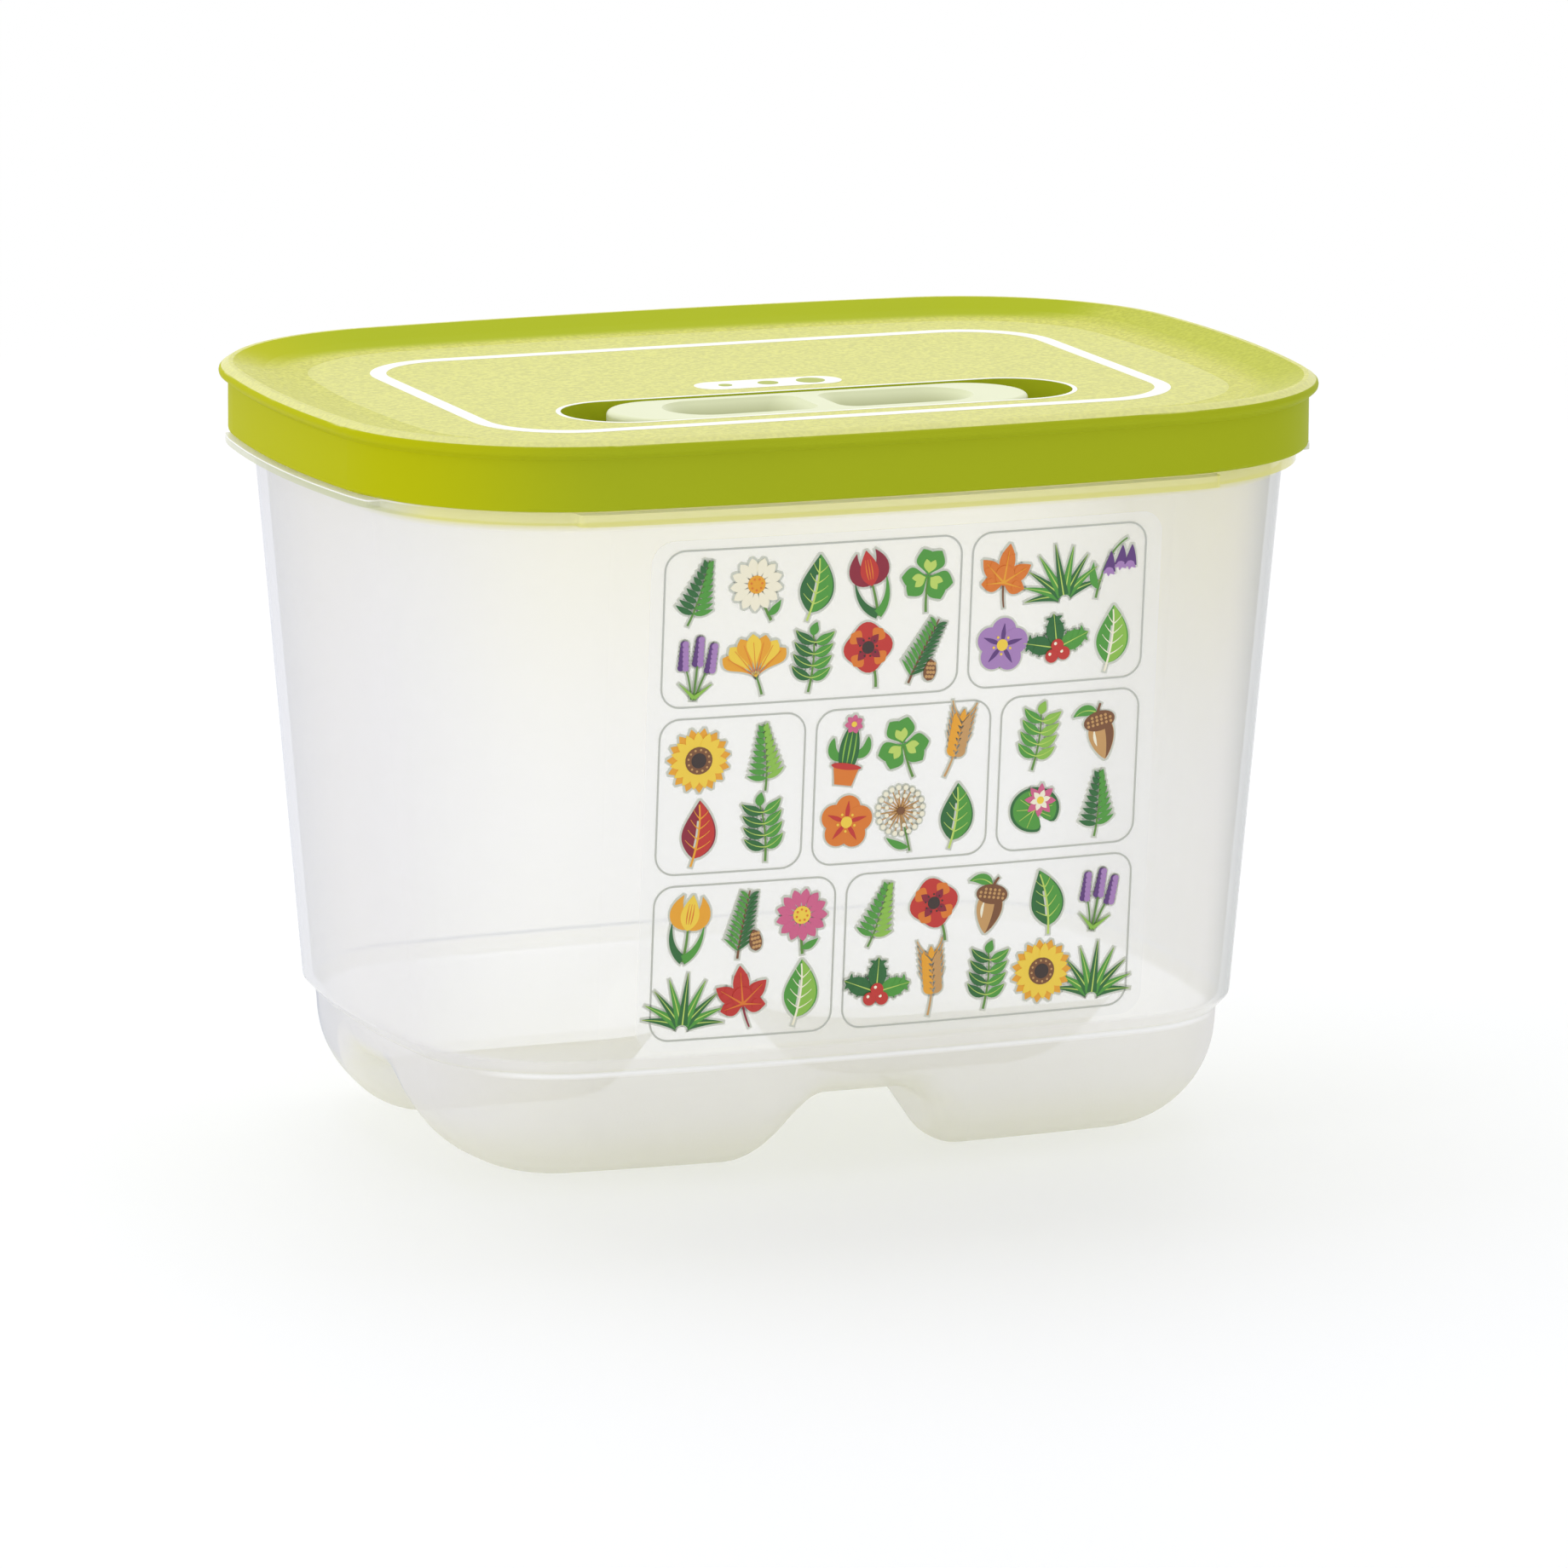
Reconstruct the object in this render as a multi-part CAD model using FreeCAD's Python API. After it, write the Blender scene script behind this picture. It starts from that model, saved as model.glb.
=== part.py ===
"""Ventilated food keeper: a see-through tub, a press-on lid, a vent slider in the lid and a clear label film.

The table is z = 0, +X runs along the long side and -Y faces the user. Lengths are millimetres.
"""
import FreeCAD, Part
import math
import os

# Lid outline seen from above: bowed sides joined by round corners
lid_length = 180.0
lid_width = 133.7
corner_radius = 40.5
long_side_radius = 650.0
short_side_radius = 232.0
overall_height = 130.8

# Lid section, insets measured from the outline and drops from the crest of its rim
skirt_inset = 1.6
skirt_drop = 11.9
skirt_wall = 1.8
skirt_edge_round = 0.6
bead_drop = 1.0
bead_land = 1.0
bead_height = 3.2
bead_round = 0.9
crest_inset = 1.6
crest_width = 0.9
crest_round = 0.4
panel_drop = 2.3
panel_inset = 11.5
panel_blend = 30.0
panel_wall = 1.6
roof_drop = 3.6
plug_wall = 1.5
plug_depth = 5.2

# Tub wall, insets measured from the lid outline and heights from the table
tub_wall = 1.8
shoulder_drop = 14.4
shoulder_wall = 1.8
shoulder_inset = 6.0
step_height = 23.4
step_rise = 2.3
step_inset = 14.0
step_round = 1.2
foot_top_inset = 16.2
foot_inset = 17.9
foot_round = 19.2
rim_wall = 1.8
rim_gap = 0.3

# Cross channel under the tub, which parts the base into four hollow feet
channel_height = 13.4
channel_top_width = 20.0
channel_base_width = 35.0
channel_corner = 15.0
channel_round = 6.0
foot_edge_round = 7.5

# Finger lips that stand out of the rim in the middle of each side
grip_inset = 1.1
grip_gap = 0.45
grip_round = 1.1
long_grip_length = 115.0
long_grip_height = 2.0
short_grip_length = 73.0
short_grip_height = 1.3

# Vent recess in the lid
recess_length = 91.6
recess_width = 21.8
recess_offset = -23.6
recess_depth = 6.4
recess_wall = 1.6
vent_length = 12.0
vent_width = 4.0
vent_start = 10.0
vent_spread = 4.6

# Vent slider
slider_travel = 7.8
slider_gap = 0.4
slider_drop = 0.12
slider_edge_round = 0.9
well_length = 26.0
well_width = 15.0
well_depth = 3.2
well_slope = 3.0
well_round = 2.0
well_inner_corner = 3.5
rib_width = 3.6
air_start = 16.0
air_width = 14.0
air_depth = 1.0
leg_spacing = 40.0
leg_length = 8.0
leg_width = 2.6
leg_slit = 0.8
barb_reach = 0.9
barb_height = 1.6

# Label film on the front wall
label_width = 92.0
label_margin = 3.8
label_offset = 2.4
label_lift = 1.2
label_corner = 4.0
label_film = 0.2
label_glue = 0.15

# Cuts run past the faces that they open by this much
overrun = 2.0
match = 0.001

# Levels and insets that follow from the sizes above
skirt_base = overall_height - skirt_drop
roof_level = overall_height - roof_drop
plug_base = roof_level - plug_depth
panel_level = overall_height - panel_drop
panel_under = panel_level - panel_wall
shoulder_level = overall_height - shoulder_drop
foot_level = step_height - step_rise
foot_depth = lid_width / 2 - foot_inset - channel_base_width / 2
foot_bottom_round = min(foot_round, foot_depth - foot_edge_round)
channel_inset = skirt_inset + skirt_wall
rim_inset = channel_inset + rim_gap
rim_inner_inset = rim_inset + rim_wall
plug_inset = rim_inner_inset + rim_gap
plug_inner_inset = plug_inset + plug_wall
recess_floor = panel_level - recess_depth
recess_under = recess_floor - recess_wall
slider_base = recess_floor + slider_gap
slider_top = panel_level - slider_drop
slider_width = recess_width - 2 * slider_gap
slider_length = recess_length - 2 * (slider_travel + slider_gap)
label_base = step_height + label_lift
label_top = shoulder_level - label_margin
reach = lid_length


def point(x, y, z):
    return FreeCAD.Vector(x, y, z)


def line(start, end):
    return Part.LineSegment(start, end).toShape()


def arc(start, middle, end):
    return Part.Arc(start, middle, end).toShape()


def box(low, high):
    """Block between two opposite corners."""
    size = high - low
    return Part.makeBox(size.x, size.y, size.z, low)


def solid_of(wire, rise):
    """Prism on a flat closed wire."""
    return Part.Face(wire).extrude(point(0, 0, rise))


def side_centres():
    """Centres of the long side's, the short side's and the corner's arcs in the +X +Y quarter."""
    long_centre = point(0, lid_width / 2 - long_side_radius, 0)
    short_centre = point(lid_length / 2 - short_side_radius, 0, 0)
    between = short_centre - long_centre
    to_long = long_side_radius - corner_radius
    to_short = short_side_radius - corner_radius
    along = (between.Length ** 2 + to_long ** 2 - to_short ** 2) / (2 * between.Length)
    across = math.sqrt(to_long ** 2 - along ** 2)
    way = between / between.Length
    corner = long_centre + way * along + point(way.y, -way.x, 0) * across
    return long_centre, short_centre, corner


def outline(inset, z):
    """The lid's outline moved inwards by inset, as eight tangent arcs at height z."""
    long_centre, short_centre, corner = side_centres()

    def on_arc(centre, towards, radius):
        way = towards - centre
        return centre + way / way.Length * (radius - inset)

    long_end = on_arc(long_centre, corner, long_side_radius)
    short_end = on_arc(short_centre, corner, short_side_radius)
    corner_middle = on_arc(corner, (long_end + short_end) / 2, corner_radius)
    end_middle = point(lid_length / 2 - inset, 0, 0)
    side_middle = point(0, lid_width / 2 - inset, 0)

    def placed(p, x_sign, y_sign):
        return point(x_sign * p.x, y_sign * p.y, z)

    edges = []
    for sign in (1, -1):
        ends = [placed(short_end, sign, -sign), placed(short_end, sign, sign), placed(long_end, sign, sign),
                placed(long_end, -sign, sign), placed(short_end, -sign, sign)]
        middles = [placed(end_middle, sign, 1), placed(corner_middle, sign, sign),
                   placed(side_middle, 1, sign), placed(corner_middle, -sign, sign)]
        edges += [arc(start, middle, end) for start, middle, end in zip(ends, middles, ends[1:])]
    return Part.Wire(edges)


def stack(*sections):
    """Solid through the outline at each (inset, height) in turn."""
    return Part.makeLoft([outline(inset, z) for inset, z in sections], True, True)


def edges_at(shape, z):
    """Edges that lie flat at height z."""
    return [edge for edge in shape.Edges
            if abs(edge.BoundBox.ZMin - z) < match and abs(edge.BoundBox.ZMax - z) < match]


def shared_edges(shape, first, second):
    """Edges of a shape that lie on the skins of two other solids at once."""
    skins = [Part.Shell(first.Faces), Part.Shell(second.Faces)]
    found = []
    for edge in shape.Edges:
        middle = edge.valueAt((edge.FirstParameter + edge.LastParameter) / 2)
        if all(skin.distToShape(Part.Vertex(middle))[0] < match for skin in skins):
            found.append(edge)
    return found


def stadium(length, width, y, z):
    """Closed wire of two straight sides and two half-round ends, along X."""
    radius = width / 2
    straight = length / 2 - radius
    edges = []
    for sign in (1, -1):
        side_start = point(-sign * straight, y - sign * radius, z)
        end_start = point(sign * straight, y - sign * radius, z)
        tip = point(sign * (straight + radius), y, z)
        end_finish = point(sign * straight, y + sign * radius, z)
        edges += [line(side_start, end_start), arc(end_start, tip, end_finish)]
    return Part.Wire(edges)


def cross_wire(half_width, corner, z):
    """Closed wire of a plus sign whose arms run out of the tub, with its four inner corners rounded."""
    near = half_width + corner
    bulge = half_width + corner * (1 - math.sqrt(1 / 2))
    edges = []
    for turn in range(4):
        cosine, sine = ((1, 0), (0, 1), (-1, 0), (0, -1))[turn]

        def turned(x, y):
            return point(cosine * x - sine * y, sine * x + cosine * y, z)

        edges.append(line(turned(reach, -half_width), turned(reach, half_width)))
        edges.append(line(turned(reach, half_width), turned(near, half_width)))
        edges.append(arc(turned(near, half_width), turned(bulge, bulge), turned(half_width, near)))
        edges.append(line(turned(half_width, near), turned(half_width, reach)))
    return Part.Wire(edges)


def cross_channel(offset):
    """The space of the cross channel, grown by offset: a plus sign with sloping flanks and a rounded roof."""
    roof = channel_height + offset
    slope = (channel_base_width - channel_top_width) / (2 * channel_height)
    base_half = channel_base_width / 2 + offset * math.sqrt(1 + slope ** 2)

    def section(z):
        return cross_wire(base_half - slope * z, channel_corner - offset, z)

    space = Part.makeLoft([section(-overrun), section(roof)], True, True)
    ridges = [edge for edge in edges_at(space, roof)
              if max(abs(edge.CenterOfMass.x), abs(edge.CenterOfMass.y)) < reach - match]
    return space.makeFillet(channel_round + offset, ridges)


def wall_inset(z):
    """Inset of the tub's outer wall at height z, from the step up."""
    share = (z - step_height) / (shoulder_level - step_height)
    return step_inset + (shoulder_inset - step_inset) * share


def tub_form(offset, top):
    """The tub's outer form up to top, drawn in by offset all round: feet, step and sloping wall."""
    form = stack((foot_inset + offset, offset),
                 (foot_top_inset + offset, foot_level),
                 (step_inset + offset, step_height),
                 (wall_inset(top) + offset, top))
    form = form.makeFillet(foot_bottom_round - offset, edges_at(form, offset))
    form = form.makeFillet(step_round, edges_at(form, step_height))
    channel = cross_channel(offset)
    footed = form.cut(channel)
    return footed.makeFillet(foot_edge_round - offset, shared_edges(footed, form, channel))


def grip_lips():
    """Finger lips in the middle of each side, standing out of the rim just under the lid's skirt."""
    top = skirt_base - grip_gap
    lips = None
    for length, height, along_x in ((long_grip_length, long_grip_height, True),
                                    (short_grip_length, short_grip_height, False)):
        band = stack((grip_inset, top - height), (grip_inset, top))
        half = length / 2
        if along_x:
            window = box(point(-half, -reach, top - height), point(half, reach, top))
        else:
            window = box(point(-reach, -half, top - height), point(reach, half, top))
        pair = band.common(window)
        lips = pair if lips is None else lips.fuse(pair)
    return lips


def make_tub():
    """Thin-walled tub with four hollow feet, a stepped wall, an outset rim and finger lips."""
    lips = grip_lips()
    rim = stack((rim_inset, shoulder_level), (rim_inset, roof_level)).fuse(lips).removeSplitter()
    ends = [edge for edge in rim.Edges
            if edge.BoundBox.XLength < match and edge.BoundBox.YLength < match
            and edge.BoundBox.ZMax < skirt_base and is_lip_end(edge)]
    rim = rim.makeFillet(grip_round, ends)
    ledge = shoulder_level + shoulder_wall
    hollow = tub_form(tub_wall, ledge)
    mouth = stack((rim_inner_inset, ledge), (rim_inner_inset, roof_level + overrun))
    tub = tub_form(0, shoulder_level).fuse(rim).cut(hollow).cut(mouth)
    return tub.removeSplitter()


def is_lip_end(edge):
    """True for an upright edge where a finger lip starts or ends."""
    middle = edge.CenterOfMass
    at_long_end = abs(abs(middle.x) - long_grip_length / 2) < match
    at_short_end = abs(abs(middle.y) - short_grip_length / 2) < match
    return at_long_end or at_short_end


def lid_shell():
    """Lid before its vent: skirt with a bead, raised rim, sunk panel and the groove for the tub's rim."""
    land_top = overall_height - bead_drop
    land_base = land_top - bead_land
    outer = stack((skirt_inset, skirt_base),
                  (skirt_inset, overall_height - bead_height),
                  (0, land_base),
                  (0, land_top),
                  (crest_inset, overall_height))
    outer = outer.makeFillet(bead_round, edges_at(outer, land_base) + edges_at(outer, land_top))
    outer = outer.makeFillet(skirt_edge_round, edges_at(outer, skirt_base))
    slope_top = crest_inset + crest_width
    lift = (panel_inset - slope_top) * overrun / panel_drop
    dish = stack((panel_inset, panel_level), (slope_top - lift, overall_height + overrun))
    dish = dish.makeFillet(panel_blend, edges_at(dish, panel_level))
    shell = outer.cut(dish)
    shell = shell.makeFillet(crest_round, edges_at(shell, overall_height))
    below = skirt_base - overrun
    shell = shell.cut(stack((channel_inset, below), (channel_inset, plug_base)))
    groove = stack((channel_inset, below), (channel_inset, roof_level))
    shell = shell.cut(groove.cut(stack((plug_inset, below), (plug_inset, roof_level))))
    return shell.cut(stack((plug_inner_inset, below), (plug_inner_inset, panel_under)))


def guide_slot(x):
    """Slot through the recess floor for one snap leg of the slider, long enough for its travel."""
    length = leg_length + 2 * (slider_travel + slider_gap)
    width = leg_width + 2 * slider_gap
    low = point(x - length / 2, recess_offset - width / 2, recess_under - overrun)
    return box(low, low + point(length, width, recess_wall + 2 * overrun))


def vent_hole(y):
    """One air vent through the recess floor, which the slider covers, half covers or frees."""
    low = point(vent_start, y - vent_width / 2, recess_under - overrun)
    return box(low, low + point(vent_length, vent_width, recess_wall + 2 * overrun))


def make_lid():
    """Press-on lid with the walled recess, vents and guide slots of the vent slider."""
    both_walls = 2 * recess_wall
    casing = stadium(recess_length + both_walls, recess_width + both_walls, recess_offset, recess_under)
    lid = lid_shell().fuse(solid_of(casing, panel_under - recess_under))
    recess = stadium(recess_length, recess_width, recess_offset, recess_floor)
    lid = lid.cut(solid_of(recess, recess_depth + overrun))
    for sign in (1, -1):
        lid = lid.cut(guide_slot(sign * leg_spacing / 2))
        lid = lid.cut(vent_hole(recess_offset + sign * vent_spread))
    return lid.removeSplitter()


def well_wire(x_sign, inset, z):
    """Outline of one thumb well: a half-round outer end and small corners beside the middle rib."""
    inner = rib_width / 2 + inset
    outer = rib_width / 2 + well_length - inset
    half = well_width / 2 - inset
    corner = well_inner_corner
    bulge = corner * (1 - math.sqrt(1 / 2))

    def placed(x, y):
        return point(x_sign * x, recess_offset + y, z)

    start = placed(inner + corner, -half)
    back = placed(inner + corner, half)
    edges = [line(start, placed(outer - half, -half)),
             arc(placed(outer - half, -half), placed(outer, 0), placed(outer - half, half)),
             line(placed(outer - half, half), back),
             arc(back, placed(inner + bulge, half - bulge), placed(inner, half - corner)),
             line(placed(inner, half - corner), placed(inner, corner - half)),
             arc(placed(inner, corner - half), placed(inner + bulge, bulge - half), start)]
    return Part.Wire(edges)


def thumb_well(x_sign):
    """Space of one thumb well, with sloping sides and a rounded floor."""
    floor = slider_top - well_depth
    above = slider_top + overrun
    flare = well_slope * overrun / well_depth
    sections = [well_wire(x_sign, well_slope, floor), well_wire(x_sign, -flare, above)]
    space = Part.makeLoft(sections, True, True)
    return space.makeFillet(well_round, edges_at(space, floor))


def snap_leg(x):
    """Split leg under the slider whose barbs catch below the recess floor."""
    shoulder = recess_under - slider_gap
    tip = shoulder - barb_height
    half = leg_width / 2
    root = slider_base + air_depth
    profile = [(half, root), (half, shoulder), (half + barb_reach, shoulder), (half, tip),
               (-half, tip), (-half - barb_reach, shoulder), (-half, shoulder), (-half, root)]
    corners = [point(x - leg_length / 2, recess_offset + y, z) for y, z in profile]
    leg = Part.Face(Part.makePolygon(corners + corners[:1])).extrude(point(leg_length, 0, 0))
    slit = box(point(x - leg_length, recess_offset - leg_slit / 2, tip - overrun),
               point(x + leg_length, recess_offset + leg_slit / 2, slider_base))
    return leg.cut(slit)


def make_slider():
    """Vent slider: a round-ended shuttle with two thumb wells, an air passage below and two snap legs."""
    plan = stadium(slider_length, slider_width, recess_offset, slider_base)
    body = solid_of(plan, slider_top - slider_base)
    body = body.makeFillet(slider_edge_round, edges_at(body, slider_top))
    for sign in (1, -1):
        body = body.cut(thumb_well(sign))
    passage = box(point(air_start, recess_offset - air_width / 2, slider_base - overrun),
                  point(slider_length, recess_offset + air_width / 2, slider_base + air_depth))
    body = body.cut(passage)
    for sign in (1, -1):
        body = body.fuse(snap_leg(sign * leg_spacing / 2))
    return body.removeSplitter()


def make_label():
    """Clear film that follows the curve and slope of the front wall, with round corners."""
    def skin(lift):
        return stack((wall_inset(label_base) - lift, label_base), (wall_inset(label_top) - lift, label_top))

    left = label_offset - label_width / 2
    right = label_offset + label_width / 2
    frame = ((left, label_base), (right, label_base), (right, label_top), (left, label_top))
    corners = [point(x, -reach, z) for x, z in frame]
    window = Part.Face(Part.makePolygon(corners + corners[:1])).extrude(point(0, reach, 0))
    uprights = [edge for edge in window.Edges if edge.BoundBox.YLength > reach / 2]
    window = window.makeFillet(label_corner, uprights)
    return skin(label_glue + label_film).cut(skin(label_glue)).common(window)


pieces = {
    "tub": make_tub(),
    "lid": make_lid(),
    "vent_slider": make_slider(),
    "label_film": make_label(),
}
os.makedirs("parts", exist_ok=True)
for name, piece in pieces.items():
    print(name, "valid", piece.isValid(), "solids", len(piece.Solids), "volume", round(piece.Volume))
    piece.exportStep("parts/" + name + ".step")
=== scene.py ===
"""Dresses the packed food keeper: finishes, white lid lines, a printed label and a stage."""

import math

import bpy
from mathutils import Matrix, Vector


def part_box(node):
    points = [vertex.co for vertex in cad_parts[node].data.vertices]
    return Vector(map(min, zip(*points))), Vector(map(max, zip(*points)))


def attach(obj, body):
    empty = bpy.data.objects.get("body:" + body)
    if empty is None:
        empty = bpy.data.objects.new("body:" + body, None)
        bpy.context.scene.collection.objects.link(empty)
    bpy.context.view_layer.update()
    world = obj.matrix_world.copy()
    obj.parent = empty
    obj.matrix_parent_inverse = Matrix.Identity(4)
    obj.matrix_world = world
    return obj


bl_info = {
    "name": "Food keeper dressing",
    "version": (1, 0, 0),
    "blender": (4, 5, 0),
    "location": "3D View > Sidebar > Keeper",
    "description": "Finishes, lid lines, printed label and studio stage of a vented food keeper",
    "category": "Object",
}

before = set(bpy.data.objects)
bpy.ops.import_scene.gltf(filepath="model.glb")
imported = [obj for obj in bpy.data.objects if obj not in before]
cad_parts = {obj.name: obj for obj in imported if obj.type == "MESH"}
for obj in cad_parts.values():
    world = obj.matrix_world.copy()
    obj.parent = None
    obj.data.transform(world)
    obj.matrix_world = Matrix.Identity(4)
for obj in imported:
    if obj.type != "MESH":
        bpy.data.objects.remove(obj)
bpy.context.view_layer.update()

MM = 0.001


def shade(code):
    """Linear red, green and blue of a colour written as six hex digits."""
    parts = [int(code[i : i + 2], 16) / 255 for i in (0, 2, 4)]
    return tuple(p / 12.92 if p <= 0.04045 else ((p + 0.055) / 1.055) ** 2.4 for p in parts)


def toned(tint, gain):
    """A colour made lighter or darker."""
    return tuple(min(1, part * gain) for part in tint)


def length(name, description, default_mm):
    """A size in metres, given in millimetres."""
    about = {"name": name, "description": description, "default": default_mm * MM}
    return bpy.props.FloatProperty(**about, precision=5, unit="LENGTH", subtype="DISTANCE")


def colour(name, description, code):
    """A colour that a user would change."""
    about = {"name": name, "description": description, "default": shade(code)}
    return bpy.props.FloatVectorProperty(**about, min=0, max=1, size=3, subtype="COLOR")


def share(name, description, default):
    """A value from 0 to 1."""
    about = {"name": name, "description": description, "default": default}
    return bpy.props.FloatProperty(**about, min=0, max=1, subtype="FACTOR")


def strength(name, description, default, unit="NONE"):
    """A lamp's power or a light's strength."""
    about = {"name": name, "description": description, "default": default}
    return bpy.props.FloatProperty(**about, min=0, unit=unit)


class KeeperTub(bpy.types.PropertyGroup):
    """Colours and cover of the tub and the film, among them the tub's painted light, shade and
    highlights.
    """

    tub_colour: colour("Tub", "Colour of the clear natural plastic", "F6F4F1")
    # Painted light: the upper wall is tinted warm where light that came through the lid falls on it.
    upper_painted_light_colour: colour("Upper wall", "Colour of the wall near the lid, which is warmer", "F6F0D2")
    # Painted shade: the end walls and corners are made greyer.
    ends_painted_shade_colour: colour("Ends", "Colour of the end walls and corners, which look greyer", "E0DEE1")
    # Painted shade: the corners at the right end are made darker.
    right_painted_shade_colour: colour("Right corners", "Colour of the corners at the right end", "AAAEAC")
    # Painted shade: the corner at the left and back is made darker.
    left_light_and_shade_colour: colour("Left back corner", "Colour of the corner at the left and back", "B9BDCA")
    foot_colour: colour("Feet", "Colour of the frosted feet", "ECEAE4")
    # Painted shade, tinted yellowish by the lid's light, on the feet's faces that look down.
    under_painted_shade_colour: colour("Underside", "Colour of the faces that look down", "E8E6D8")
    # Painted shade: a thin darker line inside the tub, just above the step.
    line_ink_and_shade_colour: colour("Inner line", "Colour of the thin line above the step, inside", "C4C8D4")
    # Painted light: the long sides' lips are tinted with the lid's green; the end lips get a painted
    # grey-green shade.
    lip_painted_green_colour: colour("Lip", "Colour of the long sides' lips, which catch the lid's green", "E3DF88")
    end_lip_painted_shade_colour: colour("End lip", "Colour of the lips at the ends, which are clearer", "C8CBA8")
    tub_cover: share("Wall cover", "How much of what lies behind the wall is hidden", 0.28)
    edge_cover: share("Edge cover", "How much the wall hides where it is seen edge on", 0.9)
    light_through: share("Light through", "How much light the milky plastic lets through", 0.85)
    foot_cover: share("Foot cover", "How much the frosted wall of the feet hides", 0.66)
    step_cover: share("Step cover", "How much the sloping step above the feet hides", 0.4)
    step_cover_behind: share("End step cover", "How much an end's step hides from inside", 0.7)
    floor_cover: share("Inner floor cover", "How much the tub's floor hides, seen from inside", 0.22)
    shade_line_cover: share("Inner line cover", "How much the thin line above the step hides", 0.46)
    # The white line below the step is a painted highlight; this sets how much of it shows.
    highlight_line_cover: share("Ridge cover", "How much the white line below the step hides", 0.92)
    lip_cover: share("Lip cover", "How much the lips on the long sides hide", 0.8)
    end_lip_cover: share("End lip cover", "How much the lips at the ends hide", 0.72)
    rim_cover: share("Rim cover", "How much the rim under the lid hides", 0.6)
    # The thin white line on the end lips is a painted highlight.
    glint_cover: share("Glint cover", "How much the thin white line on the end lips hides", 0.95)
    film_cover: share("Film cover", "How much the clear label film hides", 0.3)
    wall_rough: share("Wall roughness", "Roughness of the glossy wall, where it is least", 0.1)
    foot_rough: share("Foot roughness", "Roughness of the frosted feet", 0.55)
    wall_haze: length("Wall haze", "Size of the slow unevenness of the wall's gloss", 24)
    foot_grain: length("Foot grain", "Size of the fine grain on the feet", 0.45)
    foot_grain_depth: length("Foot grain depth", "Depth of the fine grain on the feet", 0.06)


class KeeperLid(bpy.types.PropertyGroup):
    """Colours and grain of the lid and the slider, among them painted light, sheen and highlight on the
    lid and painted shade in the slider's wells.
    """

    lid_colour: colour("Lid", "Colour of the lid's plastic", "A5B020")
    # Painted light: the lid's left end is made yellower and brighter, where the light falls on it.
    left_light_and_shade_colour: colour("Left end", "Colour of the lid's left end, which is yellower", "B8BA0C")
    # Painted sheen: the panel is made paler to stand in for reflected white light; its grain is the
    # panel's own.
    panel_sheen_colour: colour("Panel", "Colour of the grained panel, which scatters more light", "CCCC60")
    # Painted highlight on the rounded edge of the raised rim.
    crest_highlight_colour: colour("Crest", "Colour of the rounded edge of the raised rim", "ECEBB4")
    lid_light: colour("Lid light", "Colour of the light that comes through the soft lid", "FAF7E4")
    lid_through: share("Lid through", "How much light one face of the lid lets through", 0.6)
    lid_rough: share("Lid roughness", "Roughness of the lid's skirt, where it is least", 0.42)
    panel_rough: share("Panel roughness", "Roughness of the grained panel between its grains", 0.26)
    lid_haze: length("Lid haze", "Size of the slow unevenness of the lid's gloss", 30)
    lid_grain: length("Lid grain", "Size of the fine grain on the lid's sunk panel", 0.8)
    lid_grain_depth: length("Lid grain depth", "Depth of the grain on the lid's sunk panel", 0.1)
    slider_colour: colour("Slider", "Colour of the vent slider", "DFE4BC")
    # Painted shade in the slider's wells, tinted by the lid's green.
    well_painted_shade_colour: colour("Wells", "Colour of the slider's wells, which catch the lid's green", "B9BE90")


class KeeperLidLines(bpy.types.PropertyGroup):
    """Sizes of the white print on the lid's panel."""

    ink_colour: colour("Ink", "Colour of the lines", "F7F8F0")
    ink_height: length("Ink height", "Thickness of the print above the panel", 0.05)
    border_length: length("Border length", "Outer length of the border line", 125.6)
    border_width: length("Border width", "Outer width of the border line", 81.6)
    border_corner: length("Border corner", "Outer corner radius of the border line", 16.5)
    border_offset: length("Border offset", "How far the border is behind the lid's middle", -1.0)
    line_width: length("Line width", "Width of the border line", 2.8)
    ring_width: length("Ring width", "Width of the line round the vent's recess", 0.8)
    pill_length: length("Pill length", "Length of the field behind the vent marks", 26.5)
    pill_width: length("Pill width", "Width of the field behind the vent marks", 8.0)
    pill_x: length("Pill x", "Place of the field along the lid", -1.4)
    pill_y: length("Pill y", "Place of the field across the lid", -3.9)
    mark_spacing: length("Mark spacing", "Distance between the vent marks", 7.8)


class KeeperLabel(bpy.types.PropertyGroup):
    """Sizes of the printed label on the front wall."""

    halo: length("Halo", "Width of the grey edge round each picture", 0.38)
    frame_line: length("Frame line", "Width of the grey line round each panel", 0.32)
    frame_corner: length("Frame corner", "Corner radius of the panels", 3.6)
    gutter: length("Gutter", "Room between two panels", 1.7)
    margin: length("Margin", "Room between the panels and the film's edge", 1.6)
    ink_step: length("Ink step", "Thickness of one layer of ink", 0.004)
    halo_colour: colour("Halo", "Colour of the edge round each picture", "CDD0C4")
    line_ink_and_shade_colour: colour("Line", "Colour of the panels' lines", "BFC2BA")


class KeeperStage(bpy.types.PropertyGroup):
    """Floor, light and camera."""

    floor_colour: colour("Floor", "Colour of the floor", "F9FAFD")
    floor_lift: share("Floor lift", "How far the floor's shadow is lifted towards white", 0.2)
    floor_reach: length("Floor reach", "Distance at which the floor is lost in white", 900)
    key_power: strength("Key power", "Power of the large soft lamp at the left", 3.0, "POWER")
    back_power: strength("Back power", "Power of the soft lamp above and behind", 6.6, "POWER")
    fill: strength("Fill", "Strength of the even light all round", 0.83)


def at_rest():
    """Object mode, with nothing selected."""
    if bpy.context.object is not None and bpy.context.object.mode != "OBJECT":
        bpy.ops.object.mode_set(mode="OBJECT")
    bpy.ops.object.select_all(action="DESELECT")


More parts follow.
